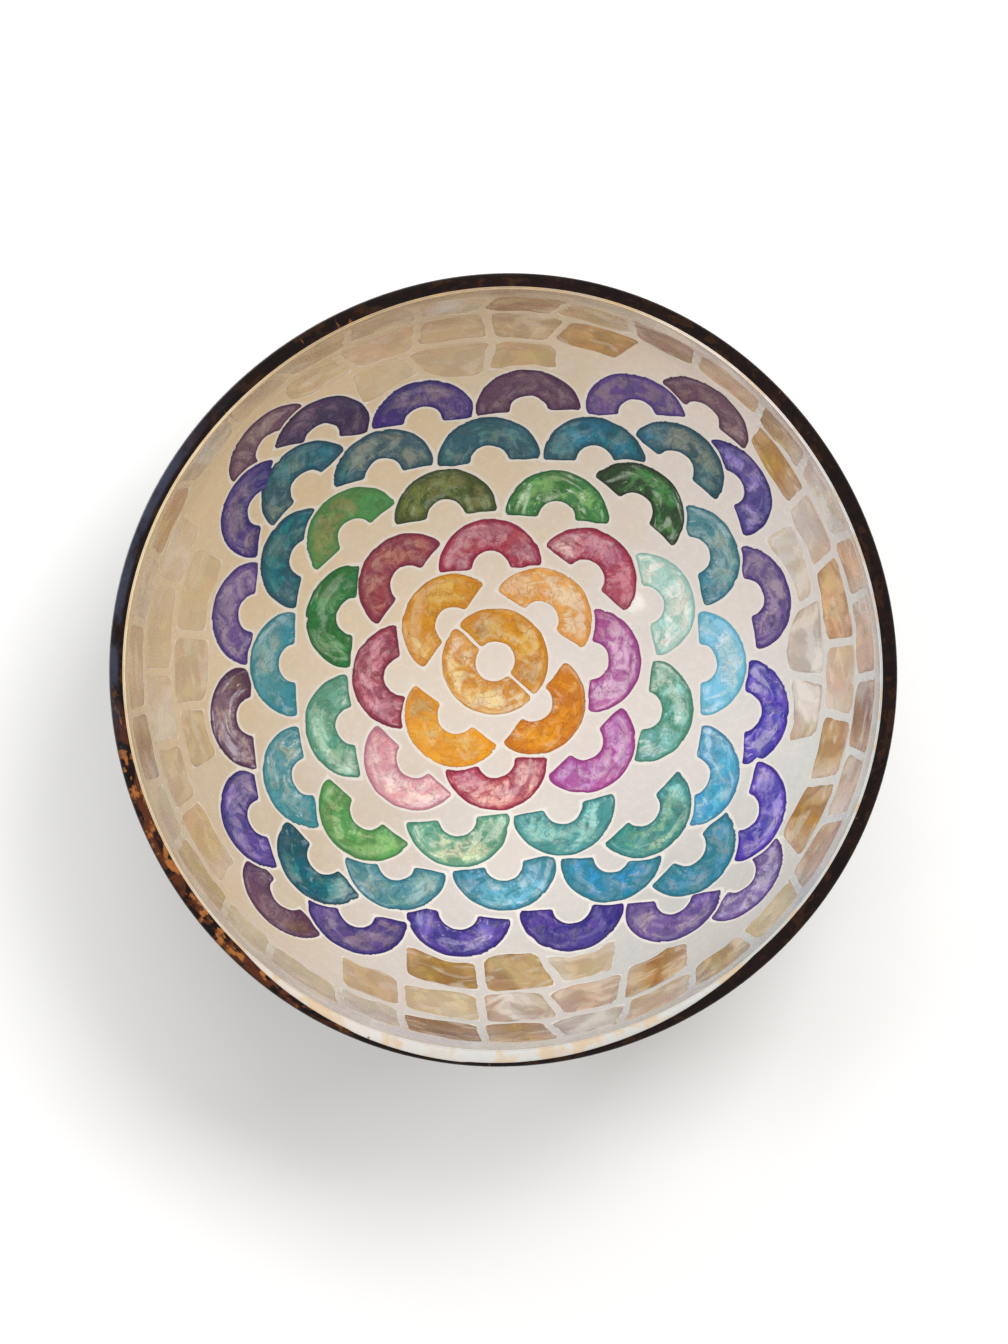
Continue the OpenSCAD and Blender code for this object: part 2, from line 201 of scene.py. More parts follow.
# How far hand cutting strays from the drawn outline, in long swells and in short ones, and their
# lengths, and how far apart the pattern is read for two pieces and for the two ways
SWELLS = ((0.2 * MM, 2.6 * MM), (0.07 * MM, 0.8 * MM))
PIECE_STEP, SIDEWAYS_STEP = 3.7, 50
# Where a slab's grid has lines beside its edges
EDGE_LINES = (0.06 * MM, 0.13 * MM, 0.22 * MM, 0.45 * MM)
# Width (mm) of the darker rim that a piece soaks up from its edges
SOAK_WIDTH = 1.7
# How far apart (mm) the shell's figure is read for two pieces
FIGURE_STEP = 13.7
# Nearly black, which deepens a dye
INK = (0.004, 0.002, 0.004, 1)
# Heights between which painted shade comes in under the brink
BRINK_SHADE_HEIGHTS = (47 * MM, 52.5 * MM)
# A seat starts this far inside a piece's outline and takes this share of the poured coat's thickness
SEAT_INSET = 0.55 * MM
SEAT_SHARE = 0.8
# How far round a piece's place the lacquer is measured, and the distance given to what lies farther
NEAR_REACH = 13 * MM
FAR = 3 * MM
# The lacquer climbs less to a tile, as if the tile lay this much farther off
TILE_VEIL = 0.45 * MM

# The nut's uneven outline, as the depth (mm), number and turn (degrees) of its swells all round
NUT_SWELLS = ((0.22, 2, -74), (0.13, 3, -85), (0.2, 4, 15))
# How much more the hollow's brink follows that outline and how far down, and where the lacquer thins
BRINK_SWAY = 1.4
BRINK = 6 * MM
THINNING = 7 * MM
# The brushed lacquer laps over the cut rim round a bearing, to so many degrees each side and so far
LAP_BEARING = 269
LAP_SPREAD = 42
LAP_WIDTH = 1.75
# Bearings between which the coconut's rim is worn, and where it has a painted blue-grey sheen: where that
# begins, is full, ends and is gone
WORN_SIDE = (178, 196, 236, 250)
SHEEN_SIDE = (130, 152, 184, 194)

# Lamps as bearing and tilt (degrees), distance and size (m), power (W), colour, and whether the bowl
# mirrors them
LAMPS = {
    "window": (98, 56, 1.1, 0.6, 3.7, (0.98, 0.99, 1.0), False),
    "window_sheen": (98, 50, 1.1, 0.5, 0.4, (0.98, 0.99, 1.0), True),
    "right_lamp": (20, 50, 0.9, 0.25, 1.75, (1.0, 0.96, 0.9), False),
    "left_lamp": (170, 46, 0.9, 0.3, 1.95, (0.95, 0.975, 1.0), False),
    "left_glint": (208, 42, 0.9, 0.08, 0.16, (0.96, 0.98, 1.0), True),
    "floor_lamp": (58, 36, 0.9, 0.34, 4.4, (1.0, 1.0, 1.0), False),
}
SKY_COLOUR, SKY_STRENGTH = (1, 0.975, 0.945, 1), 0.71
WHITE = (1, 1, 1, 1)
SENSOR_WIDTH = 36
FLOOR_REACH, FLOOR_DROP = 3, 0.05 * MM


def paint(rgb):
    """Linear colour of an 8-bit one."""
    return [c / 255 / 12.92 if c < 11 else ((c / 255 + 0.055) / 1.055) ** 2.4 for c in rgb]


def length(label, description, millimetres):
    return FloatProperty(name=label, description=description, default=millimetres * MM, min=0,
                         unit="LENGTH", precision=5)


def angle(label, description, turn):
    return FloatProperty(name=label, description=description, default=radians(turn), subtype="ANGLE")


def colour(label, description, rgb):
    return FloatVectorProperty(name=label, description=description, default=paint(rgb), min=0,
                               max=1, subtype="COLOR")


class BowlSizes(bpy.types.PropertyGroup):
    """The bowl's sizes."""

    rim_height: FloatProperty(name="Rim height", description="Height of the rim above the foot",
                              default=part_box("lacquer_fill")[1].z, unit="LENGTH", precision=5)
    hollow_radius: length("Hollow radius", "Radius of the hollow at the rim", 64.5)
    hollow_depth: length("Hollow depth", "Depth of the hollow below the rim", 52)
    hollow_side_radius: length("Hollow side radius", "Radius of the hollow's side in section", 43)
    shell_radius: length("Shell radius", "Radius of the coconut at its widest", 67.6)
    shell_depth: length("Shell depth", "From the widest section to the nut's end", 53.2)
    shell_side_radius: length("Shell side radius", "Radius of the coconut's side in section", 46)
    shell_widest_drop: length("Widest drop", "The widest section's depth below the rim", 4)
    shell_lean: angle("Lean", "Lean of the nut inside the level rim", 5.5)
    shell_lean_bearing: angle("Lean bearing", "Bearing that the nut leans down to", 164)
    base_thickness: length("Base coat", "Thickness of the brushed lacquer", 0.5)
    fill_thickness: length("Poured coat", "Thickness of the poured lacquer", 0.6)
    lip_share: FloatProperty(name="Lip share", description="Share of the lacquer's thickness left at the rim",
                             default=0.42, min=0.1, max=1)
    rim_rounding: length("Rim rounding", "Rounding of the coconut's cut edge", 0.7)
    petal_radius: length("Half ring radius", "Outer radius of a half ring", 9.6)
    petal_hole_radius: length("Hole radius", "Radius of the hole in a half ring", 3.4)
    petal_pitch: length("Half ring pitch", "Pitch that spaces the half rings", 9.4)
    petal_gap: length("Nip gap", "Gap where a half ring is nipped beside its neighbour", 0.5)
    seam_gap: length("Seam gap", "Gap between the halves of the middle ring", 0.5)
    tile_margin: length("Tile margin", "Plain lacquer between the rim and the tiles", 6)
    tile_height: length("Tile height", "Height of a tile up the wall", 8.4)
    tile_width: length("Tile width", "Width of a tile round the wall", 11.2)
    tile_gap: length("Tile gap", "Lacquer between tiles", 1.4)
    tile_wander: length("Tile wander", "How far tops and feet wander from even courses", 0.5)
    tile_stagger: length("Tile stagger", "How far joints wander from an even spacing", 1.7)
    tile_least: length("Least tile", "Least height of a tile that is worth setting", 3.4)
    inlay_proud: length("Inlay proud", "How far the inlay stands above the lacquer", 0.1)


class BowlFinish(bpy.types.PropertyGroup):
    """The colours of the lacquer and the coconut."""

    cream: colour("Cream", "The lacquer where light falls full on it", (240, 232, 228))
    # The warm cream is painted shade on the upper left, and the grey cream is painted cool light on the lower
    # right
    cream_warm_shade: colour("Warm cream", "The lacquer where it is shaded and yellower", (230, 208, 170))
    cream_grey_light: colour("Grey cream", "The lacquer over the greyer chips", (219, 223, 221))
    # The meniscus colour is a painted highlight: light caught where the lacquer climbs to a piece
    meniscus_highlight: colour("Meniscus", "The lacquer where it climbs to a piece's edge", (246, 242, 236))
    lip_gold: colour("Lip gold", "Rubbed places along the lip", (214, 178, 128))
    coconut_dark: colour("Dark coconut", "The polished shell's ground", (15, 6, 6))
    coconut_brown: colour("Brown coconut", "The streaks in the shell", (50, 24, 15))
    # This blue-grey colour is a painted reflection, a sheen on the polished wall
    coconut_sheen: colour("Sheen", "Where the polish has a blue-grey bloom", (56, 58, 74))
    coconut_worn: colour("Worn coconut", "Places where the polish is worn off", (84, 42, 24))
    coconut_gold: colour("Golden coconut", "Flecks, and the palest of the worn places", (176, 110, 54))


class BowlStage(bpy.types.PropertyGroup):
    """Camera, lamps and floor."""

    lens: FloatProperty(name="Lens", description="Focal length in millimetres", default=110)
    distance: length("Distance", "Camera's distance from the middle of the rim", 700)
    tilt: angle("Tilt", "The view's tilt from straight down", 2.8)
    tilt_bearing: angle("Tilt bearing", "Bearing that the camera leans to", 130)
    floor_colour: colour("Floor", "The floor's colour", (232, 232, 232))


# Shapes shared by the pieces


def scatter(number):
    """A steady scatter between -1 and 1, the same each time for the same number."""
    return sin(radians((137.5 * number * number + 61 * number) % 360))


def pick(choices, seed):
    return choices[int(len(choices) / 2 * (1 + scatter(seed))) % len(choices)]


def rounded(distance, radius):
    """How far an edge is drawn in at a distance from its end, for a rounding of that radius."""
    if distance >= radius:
        return 0
    return radius - sqrt(max(0, radius ** 2 - (radius - distance) ** 2))


def smooth(value, low, high):
    share = min(1, max(0, (value - low) / (high - low)))
    return share * share * (3 - 2 * share)


def mix(first, second, share):
    return [a + (b - a) * share for a, b in zip(first, second)]


def around(radius, angle):
    return radius * cos(angle), radius * sin(angle)


def apart(first, second):
    """Degrees from the second bearing round to the first, the shorter way."""
    return (first - second + 540) % 360 - 180


def stray(x, y, seed, share=1):
    """How far a point of a hand-cut piece strays from its place."""
    return [sum(noise.noise(Vector((x / pitch, y / pitch, seed * PIECE_STEP + lift))) * depth * share
                for depth, pitch in SWELLS) for lift in (0, SIDEWAYS_STEP)]


def nut_swell(bearing):
    """The nut isn't quite round: low swells and flats all round it."""
    return sum(depth * cos(count * (bearing + radians(turn))) for depth, count, turn in NUT_SWELLS) * MM


class Dish:
    """A round surface whose section is a wide arc for the bottom and a tighter arc for the side."""

    def __init__(self, radius, depth, side_radius, rim):
        self.rim, self.side_radius, self.side_centre = rim, side_radius, radius - side_radius
        self.bottom_radius = (self.side_centre ** 2 + depth ** 2 - side_radius ** 2) / (
            2 * (depth - side_radius))
        self.bottom_centre = rim + self.bottom_radius - depth
        self.join_slope = atan2(self.side_centre, self.bottom_centre - rim)

    def arc_at(self, out, height):
        """The nearest arc's centre, as distance from the axis and height, and its radius."""
        if out * cos(self.join_slope) < (self.bottom_centre - height) * sin(self.join_slope):
            return 0, self.bottom_centre, self.bottom_radius
        return self.side_centre, self.rim, self.side_radius

    def beyond(self, point):
        """How far outside the surface a point lies."""
        out = hypot(point.x, point.y)
        centre_out, centre_height, radius = self.arc_at(out, point.z)
        return hypot(out - centre_out, point.z - centre_height) - radius


class Hollow(Dish):
    """The hollow's surface, with places given by their reach, the distance over it from the middle."""

    def __init__(self, sizes):
        super().__init__(sizes.hollow_radius, sizes.hollow_depth, sizes.hollow_side_radius, sizes.rim_height)
        self.sizes = sizes
        self.join_reach = self.bottom_radius * self.join_slope
        self.rim_reach = self.join_reach + self.side_radius * (pi / 2 - self.join_slope)

    def slope(self, reach):
        if reach < self.join_reach:
            return reach / self.bottom_radius
        return self.join_slope + (reach - self.join_reach) / self.side_radius

    def section(self, reach, depth=0):
        """Radius and height at a reach, at a depth into the wall."""
        slope = self.slope(reach)
        if reach < self.join_reach:
            arc = self.bottom_radius + depth
            return arc * sin(slope), self.bottom_centre - arc * cos(slope)
        arc = self.side_radius + depth
        return self.side_centre + arc * sin(slope), self.rim - arc * cos(slope)

    def radius(self, reach):
        return self.section(reach)[0]

    def coat(self, reach, depth, bearing):
        """Radius and height at a depth of the lacquer, which thins towards the rim, where the hollow
        follows the nut's uneven outline."""
        thin = 1 - (1 - self.sizes.lip_share) * smooth(reach, self.rim_reach - THINNING, self.rim_reach)
        radius, height = self.section(reach, depth * thin)
        sway = BRINK_SWAY * nut_swell(bearing) * smooth(reach, self.rim_reach - BRINK, self.rim_reach)
        return radius + sway, height

    def normal(self, point):
        """The direction from the wall into the hollow at a point on it."""
        out = hypot(point.x, point.y)
        centre_out, centre_height, _ = self.arc_at(out, point.z)
        share = centre_out / max(out, MM)
        return (Vector((point.x * share, point.y * share, centre_height)) - point).normalized()


class Nut(Dish):
    """The whole nut's surface, leaning inside the level rim."""

    def __init__(self, sizes):
        super().__init__(sizes.shell_radius, sizes.shell_depth, sizes.shell_side_radius, 0)
        self.middle = Vector((0, 0, sizes.rim_height - sizes.shell_widest_drop))
        self.upright = (Matrix.Rotation(sizes.shell_lean_bearing, 3, "Z")
                        @ Matrix.Rotation(sizes.shell_lean, 3, "Y")).inverted()

    def radius(self, bearing, height):
        """The nut's radius about the bowl's axis at a bearing and height."""
        low, high = 0.0, 80 * MM
        for _ in range(26):
            half = (low + high) / 2
            if self.beyond(self.upright @ (Vector((*around(half, bearing), height)) - self.middle)) < 0:
                low = half
            else:
                high = half
        return low + nut_swell(bearing) * smooth(height, 0, 40 * MM)


class Seat:
    """A flat layout on the wall, with X up the wall and Y round it, as the pieces are laid."""

    def __init__(self, hollow, bearing, reach):
        self.hollow, self.bearing, self.reach = hollow, bearing, reach
        ahead, slope = radians(bearing), hollow.slope(reach)
        radius, height = hollow.section(reach)
        self.spot = Vector((*around(radius, ahead), height))
        self.outward = Vector((*around(cos(slope), ahead), sin(slope)))
        self.sideways = Vector((-sin(ahead), cos(ahead), 0))
        self.inward = self.outward.cross(self.sideways)

    def drop(self, x, y, depth):
        """The point below (x, y) of the layout, at a depth into the wall."""
        start = self.spot + x * self.outward + y * self.sideways
        rise = 0
        for _ in range(7):
            rise += self.hollow.beyond(start + rise * self.inward) - depth
        return start + rise * self.inward

    def settle(self, x, y, edge, seed, proud, under, waver=1):
        """Where a point of a hand-cut slab comes to lie, and its distance from the slab's edge."""
        sway_x, sway_y = stray(x, y, seed, waver)
        depth = self.hollow.sizes.fill_thickness if under else rounded(edge, EDGE_ROUND) - proud
        return self.drop(x + sway_x, y + sway_y, depth), edge


class HalfRing:
    """A half ring's place and colours, and the neighbours laid before it that it is nipped against."""

    def __init__(self, hollow, row, seed, shift=0):
        bearing, pitches, turn, self.streak, body, dye, *ends = row
        self.sizes, self.seed, self.shift, self.nips = hollow.sizes, seed, shift, []
        self.turn = radians(turn)
        self.seat = Seat(hollow, bearing, pitches * self.sizes.petal_pitch)
        self.colours = [paint(DYES[name]) for name in (body, dye, *(ends or (body, body)))]

    def nip_against(self, other):
        """Notes the other's place and turn, with the surface laid out flat round this one, where this one
        would reach within the gap of it."""
        gap = other.seat.spot - self.seat.spot
        x, y = gap.dot(self.seat.outward), gap.dot(self.seat.sideways)
        even = gap.length / hypot(x, y)
        ahead = other.seat.outward
        turn = atan2(ahead.dot(self.seat.sideways), ahead.dot(self.seat.outward)) + other.turn
        nip, radius = (x * even, y * even, turn), self.sizes.petal_radius
        if hypot(*nip[:2]) < 2 * radius + self.sizes.petal_gap and any(
                self.meets(nip, *around(radius, self.turn + radians(7.5 * k))) for k in range(-12, 13)):
            self.nips.append(nip)

    def meets(self, nip, x, y):
        """Does the point lie on a neighbour's half disc, grown by the gap?"""
        gap, dx, dy = self.sizes.petal_gap, x - nip[0], y - nip[1]
        return hypot(dx, dy) < self.sizes.petal_radius + gap and dx * cos(nip[2]) + dy * sin(nip[2]) > -gap

    def span(self, radius):
        """First and last angle that the half ring keeps at a radius, between its neighbours."""

        def clear(angle):
            point = around(radius, angle + self.turn)
            return not any(self.meets(nip, *point) for nip in self.nips)

        def first_clear(low, high, steps=60):
            for k in range(steps + 1):
                here = low + (high - low) * k / steps
                if clear(here):
                    break
            if k == 0:
                return low
            wrong, right = low + (high - low) * (k - 1) / steps, here
            for _ in range(12):
                half = (wrong + right) / 2
                wrong, right = (wrong, half) if clear(half) else (half, right)
            return right

        return first_clear(-pi / 2, pi / 2), first_clear(pi / 2, -pi / 2)

    def outline(self, x, y):
        """The signed distance to the nipped outline, below zero inside it."""
        inner, outer = self.sizes.petal_hole_radius, self.sizes.petal_radius
        ahead = (x - self.shift) * cos(self.turn) + y * sin(self.turn)
        middle, half_width = (outer + inner) / 2, (outer - inner) / 2
        away = np.maximum(abs(np.hypot(x - self.shift, y) - middle) - half_width, -ahead)
        for nip_x, nip_y, turn in self.nips:
            dx, dy = x - nip_x, y - nip_y
            other = np.maximum(np.hypot(dx, dy) - outer, -dx * cos(turn) - dy * sin(turn))
            away = np.maximum(away, self.sizes.petal_gap - other)
        return away


def laid_rings(hollow):
    """Each colour's half rings as they are laid, each nipped against those before it."""
    families, laid = {}, []
    for family, rows in HALF_RINGS.items():
        for row in rows:
            ring = HalfRing(hollow, row, len(laid))
            for other in laid:
                ring.nip_against(other)
            laid.append(ring)
        families[family] = laid[-len(rows):]
    return families


def middle_halves(hollow):
    """The halves of the middle ring, drawn apart by the seam."""
    return {half: HalfRing(hollow, row, MIDDLE_SEED + index, hollow.sizes.seam_gap / 2)
            for index, (half, row) in enumerate(MIDDLE_HALVES.items())}


def grid_lines(span, count):
    """Shares of a span at which a slab's grid has lines, closer together at its edges."""
    edges = [line / span for line in EDGE_LINES]
    first = edges[-1]
    middle = [first + (1 - 2 * first) * k / count for k in range(1, count)]
    return [0, *edges, *middle, *(1 - line for line in reversed(edges)), 1]


def new_slabs():
    """An empty mesh for slabs, and the layers that their finish reads."""
    bm = bmesh.new()
    made = bm.verts.layers
    return bm, {"body": made.float_color.new("body"), "dye": made.float_color.new("dye"),
                "edge": made.float.new("edge"), "streak": made.float.new("streak"),
                "flow": made.float_vector.new("flow")}


def lay_slab(bm, layers, along, across, place, marks):
    """Adds a closed slab. place(u, v, under) gives a point and its distance from the slab's edge,
    and marks(u, v) the values that its finish reads there."""
    grid = bmesh.ops.create_grid(bm, x_segments=len(along) - 1, y_segments=len(across) - 1, size=1)
    top = grid["verts"]
    faces = list(dict.fromkeys(face for vert in top for face in vert.link_faces))
    lower = bmesh.ops.extrude_face_region(bm, geom=faces, use_keep_orig=True)["geom"]
    under = [item for item in lower if isinstance(item, bmesh.types.BMVert)]
    for verts, is_under in ((top, False), (under, True)):
        for vert in verts:
            u = along[round((vert.co.x + 1) / 2 * (len(along) - 1))]
            v = across[round((vert.co.y + 1) / 2 * (len(across) - 1))]
            vert.co, edge = place(u, v, is_under)
            vert[layers["edge"]] = edge / MM
            for name, value in marks(u, v).items():
                vert[layers[name]] = value
    closed = dict.fromkeys(face for vert in top + under for face in vert.link_faces)
    bmesh.ops.recalc_face_normals(bm, faces=list(closed))


def half_ring_slab(bm, layers, ring):
    """Adds one half ring to the mesh, nipped, with rounded corners and edges and small nicks."""
    sizes, seed = ring.sizes, ring.seed
    inner, outer = sizes.petal_hole_radius, sizes.petal_radius
    width, run = outer - inner, pi * (inner + outer) / 2
    rows = 14
    spans = [ring.span(inner + width * k / rows) for k in range(rows + 1)]
    body, dye, first, last = ring.colours
    nicks = [(0.5 + 0.46 * scatter(7 * seed + k), (0.2 + 0.18 * scatter(7 * seed + k + 3)) * MM,
              (0.7 + 0.35 * scatter(7 * seed + k + 5)) * MM) for k in range(3)]

    def place(u, v, under):
        end, side = min(u, 1 - u) * run, min(v, 1 - v) * width
        pull = rounded(end, CORNER)
        radius = inner + pull + (width - 2 * pull) * v
        for at, deep, wide in nicks:
            radius -= v ** 3 * deep * max(0, 1 - abs(u - at) * pi * outer / wide)
        row = min(max((radius - inner) / width * rows, 0), rows - 1e-6)
        low, high = mix(spans[int(row)], spans[int(row) + 1], row - int(row))
        x, y = around(radius, low + (high - low) * u + ring.turn)
        x += ring.shift
        for nip in ring.nips:
            if ring.meets(nip, x, y):
                away = Vector((x - nip[0], y - nip[1]))
                away *= (outer + sizes.petal_gap) / away.length
                x, y = nip[0] + away.x, nip[1] + away.y
        return ring.seat.settle(x, y, min(end, side), seed, sizes.inlay_proud, under)

    def marks(u, v):
        turn_over = 0.06 * scatter(seed + 2) + 0.1 * (v - 0.5)
        shade = mix(mix(body, first, 0.85 * (1 - smooth(u + turn_over, 0.08, 0.34))), last,
                    0.85 * smooth(u + turn_over, 0.66, 0.92))
        return {"body": (*shade, 1), "dye": (*dye, 1), "streak": ring.streak,
                "flow": (u * run / MM, v * width / MM, seed * FIGURE_STEP)}

    lay_slab(bm, layers, grid_lines(run, 34), grid_lines(width, 6), place, marks)


def tile_slots(hollow, course):
    """The tiles of a course, each as six corners (reach, bearing) from its near top corner."""
    sizes = hollow.sizes

    def scallop_reach(bearing):
        best = 0
        for middle, pitches, *_ in HALF_RINGS["purple"]:
            reach = pitches * sizes.petal_pitch
            off = radians(apart(bearing, middle)) * hollow.radius(reach + sizes.petal_radius / 2)
            if abs(off) < sizes.petal_radius:
                best = max(best, reach + sqrt(sizes.petal_radius ** 2 - off ** 2))
        return best

    top = hollow.rim_reach - sizes.tile_margin - course * (sizes.tile_height + sizes.tile_gap)
    radius = hollow.radius(top - sizes.tile_height / 2)
    count = int(360 / degrees((sizes.tile_width + sizes.tile_gap) / radius))
    gap = degrees(sizes.tile_gap / radius)

    def joint(i, level):
        seed = 400 * course + 20 * (i % count) + 7 * level
        return (i + course / 2) * 360 / count + degrees(sizes.tile_stagger / radius) * scatter(seed)

    slots = []
    for i in range(count):
        seed = 400 * course + 20 * i
        near = joint(i, 1)
        third = (joint(i + 1, 1) - gap - near) / 3
        tops = [top + sizes.tile_wander * scatter(seed + k) for k in (1, 2)]
        feet = [max(top - sizes.tile_height + sizes.tile_wander * scatter(seed + 3 + k),
                    scallop_reach(near + k * third) + sizes.tile_gap) for k in range(4)]
        if min(tops) - max(feet) > sizes.tile_least:
            slots.append([(tops[0], joint(i, 0)), *((feet[k], near + k * third) for k in range(4)),
                          (tops[1], joint(i + 1, 0) - gap)])
    return slots


def tile_layout(hollow, corners):
    """A tile's seat, and its corners laid out flat on it."""
    reach = (corners[0][0] + corners[1][0]) / 2
    bearing = (corners[0][1] + corners[5][1]) / 2
    flat = [(r - reach, hollow.radius(r) * radians(b - bearing)) for r, b in corners]
    return Seat(hollow, bearing, reach), flat


def tile_slab(bm, layers, hollow, corners, seed):
    """Adds one tile of natural shell to the mesh, with hand-broken edges."""
    seat, flat = tile_layout(hollow, corners)
    high, wide = flat[0][0] - flat[1][0], flat[5][1] - flat[0][1]
    half_span = degrees(wide / hollow.radius(seat.reach)) / 2
    accent = [name for bearing, reach, name in TILE_ACCENTS
              if abs(reach * MM - seat.reach) < high / 2 and abs(apart(bearing, seat.bearing)) < half_span]
    to_plain = cos(radians(seat.bearing - PLAIN_BEARING))
    plain = PALE_TILES if to_plain > 0.5 else TILE_ORDER
    body = paint(TILE_DYES[accent[0] if accent else pick(plain, seed + 11)])
    stain = paint(TILE_DYES["bark" if accent or scatter(seed + 5) > 0.55 else "tan"])
    first, last = (paint(TILE_DYES[pick(plain, seed + k)]) for k in (2, 9))
    # A film of lacquer veils the tiles, most of all on the side away from the light
    veil = max(0.03, 0.27 - 0.17 * to_plain - (0.15 if accent else 0) + 0.16 * scatter(seed))

    def place(u, v, under):
        end, side = min(u, 1 - u) * wide, min(v, 1 - v) * high
        v += (0.5 - v) * 2 * rounded(end, 1.6 * CORNER) / high
        k = min(int(u * 3), 2)
        foot = mix(flat[k + 1], flat[k + 2], u * 3 - k)
        x, y = mix(foot, mix(flat[0], flat[5], u), v)
        return seat.settle(x, y, min(end, side), seed, 0.5 * hollow.sizes.inlay_proud, under, 1.3)

    def marks(u, v):
        shade = mix(mix(body, first, 0.5 * (1 - smooth(u, 0, 0.5))), last, 0.5 * smooth(u, 0.5, 1))
        return {"body": (*shade, 1), "dye": (*stain, 1), "streak": veil,
                "flow": (u * wide / MM, v * high / MM, seed * FIGURE_STEP)}

    lay_slab(bm, layers, grid_lines(wide, 10), grid_lines(high, 7), place, marks)


def tile_outline(flat):
    """The signed distance to a tile's outline, below zero inside it."""

    def outline(x, y):
        away, within = np.full(len(x), 1.0), np.zeros(len(x), bool)
        for (ax, ay), (bx, by) in zip(flat, flat[1:] + flat[:1]):
            share = ((x - ax) * (bx - ax) + (y - ay) * (by - ay)) / ((bx - ax) ** 2 + (by - ay) ** 2)
            share = np.clip(share, 0, 1)
            away = np.minimum(away, np.hypot(x - ax - share * (bx - ax), y - ay - share * (by - ay)))
            crosses = (ay > y) != (by > y)
            at = ax + (y - ay) / (by - ay if by != ay else 1) * (bx - ax)
            within ^= crosses & (x < at)
        return np.where(within, -away, away)

    return outline


def inlay_clearance(hollow, points):
    """Signed distance (m) from each point on the hollow to the nearest inlaid piece's edge, as it is
    and with tiles taken as farther off, because the lacquer climbs less to them."""
    rings = [ring for family in laid_rings(hollow).values() for ring in family]
    laid = [(ring.seat, ring.outline, 0) for ring in (*rings, *middle_halves(hollow).values())]
    for course in range(TILE_COURSES):
        for corners in tile_slots(hollow, course):
            seat, flat = tile_layout(hollow, corners)
            laid.append((seat, tile_outline(flat), TILE_VEIL))
    nearest, veiled = np.full(len(points), FAR), np.full(len(points), FAR)
    for seat, outline, veil in laid:
        gap = points - np.array(seat.spot)
        near = np.flatnonzero((gap ** 2).sum(1) < NEAR_REACH ** 2)
        away = outline(gap[near] @ np.array(seat.outward), gap[near] @ np.array(seat.sideways))
        nearest[near] = np.minimum(nearest[near], away)
        veiled[near] = np.minimum(veiled[near], away + veil)
    return nearest, veiled


def levels(*zones):
    """Each level of a turning as its zone and its share of it, from zones of (name, first, stop, rows)."""
    return [(name, k / rows) for name, first, stop, rows in zones for k in range(first, stop)]


def turned(bm, count, steps, place):
    """Spins a row of points into rings and puts each at place(vert, level, bearing)."""
    points = [bmesh.ops.create_vert(bm, co=(k + 1, 0, 0))["vert"][0] for k in range(count)]
    edges = [bm.edges.new(pair) for pair in zip(points, points[1:])]
    bmesh.ops.spin(bm, geom=points + edges, cent=(0, 0, 0), axis=(0, 0, 1), angle=2 * pi,
                   steps=steps, use_merge=True)
    for vert in list(bm.verts):
        place(vert, round(hypot(vert.co.x, vert.co.y)) - 1, atan2(vert.co.y, vert.co.x))
    bmesh.ops.remove_doubles(bm, verts=bm.verts, dist=1e-7)
    bmesh.ops.recalc_face_normals(bm, faces=bm.faces)


def add_piece(name, bm, material, slot, *nodes):
    """Makes the mesh a piece of the bowl that stands for its CAD nodes."""
    mesh = bpy.data.meshes.new(name)
    bm.to_mesh(mesh)
    bm.free()
    mesh.shade_smooth()
    mesh.set_sharp_from_angle(angle=SHARP)
    mesh.materials.append(material)
    piece = bpy.data.objects.new(name, mesh)
    bpy.context.scene.collection.objects.link(piece)
    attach(piece, "root")
    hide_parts(*nodes)


# Finishes


def node(kind, inputs, tree=None, **options):
    """Adds a shader node to the tree of the sockets among its inputs. A socket is linked, a number set."""
    sockets = {key: value for key, value in inputs.items() if isinstance(value, bpy.types.NodeSocket)}
    tree = tree or next(iter(sockets.values())).id_data
    made = tree.nodes.new("ShaderNode" + kind)
    for key, value in options.items():
        setattr(made, key, value)
    for key, value in inputs.items():
        if key in sockets:
            tree.links.new(value, made.inputs[key])
        else:
            made.inputs[key].default_value = value
    return made


def attribute(tree, name, output="Fac"):
    return node("Attribute", {}, tree, attribute_name=name).outputs[output]


def noise_at(where, scale, detail=3.0, roughness=0.55, distortion=0.0, output=0):
    return node("TexNoise", {"Vector": where, "Scale": scale, "Detail": detail, "Roughness": roughness,
                             "Distortion": distortion}).outputs[output]


def cells(where, scale, feature="F1", output=0):
    return node("TexVoronoi", {"Vector": where, "Scale": scale}, feature=feature).outputs[output]


def calculate(operation, *values):
    return node("Math", dict(enumerate(values)), operation=operation).outputs[0]


def times(first, second):
    return calculate("MULTIPLY", first, second)


def plus(first, second):
    return calculate("ADD", first, second)


def ease(value, low, high, start=0.0, stop=1.0):
    """Carries a value smoothly from low..high to start..stop."""
    return node("MapRange", {"Value": value, "From Min": low, "From Max": high, "To Min": start,
                             "To Max": stop}, interpolation_type="SMOOTHSTEP").outputs[0]


def blend(share, first, second, mode="MIX"):
    return node("Mix", {0: share, 6: first, 7: second}, data_type="RGBA", blend_type=mode).outputs[2]


def tinted(tint, **inputs):
    return node("HueSaturation", {"Color": tint, **inputs}).outputs[0]


def vectors(operation, first, second, output=0):
    return node("VectorMath", {0: first, 1: second}, operation=operation).outputs[output]


def stretch(vector, scale):
    return vectors("MULTIPLY", vector, scale)


def effect(name, inputs, outputs):
    """A new node group with its sockets, and the nodes that stand for them inside it."""
    tree = bpy.data.node_groups.new(name, "ShaderNodeTree")
    for way, sockets in (("INPUT", inputs), ("OUTPUT", dict.fromkeys(outputs, "Float"))):
        for label, kind in sockets.items():
            tree.interface.new_socket(name=label, in_out=way, socket_type="NodeSocket" + kind)
    return tree, tree.nodes.new("NodeGroupInput").outputs, tree.nodes.new("NodeGroupOutput").inputs


def placed(name, **inputs):
    """Places a node group by its name, and returns its outputs."""
    return node("Group", {key.replace("_", " "): value for key, value in inputs.items()},
                node_tree=bpy.data.node_groups[name]).outputs


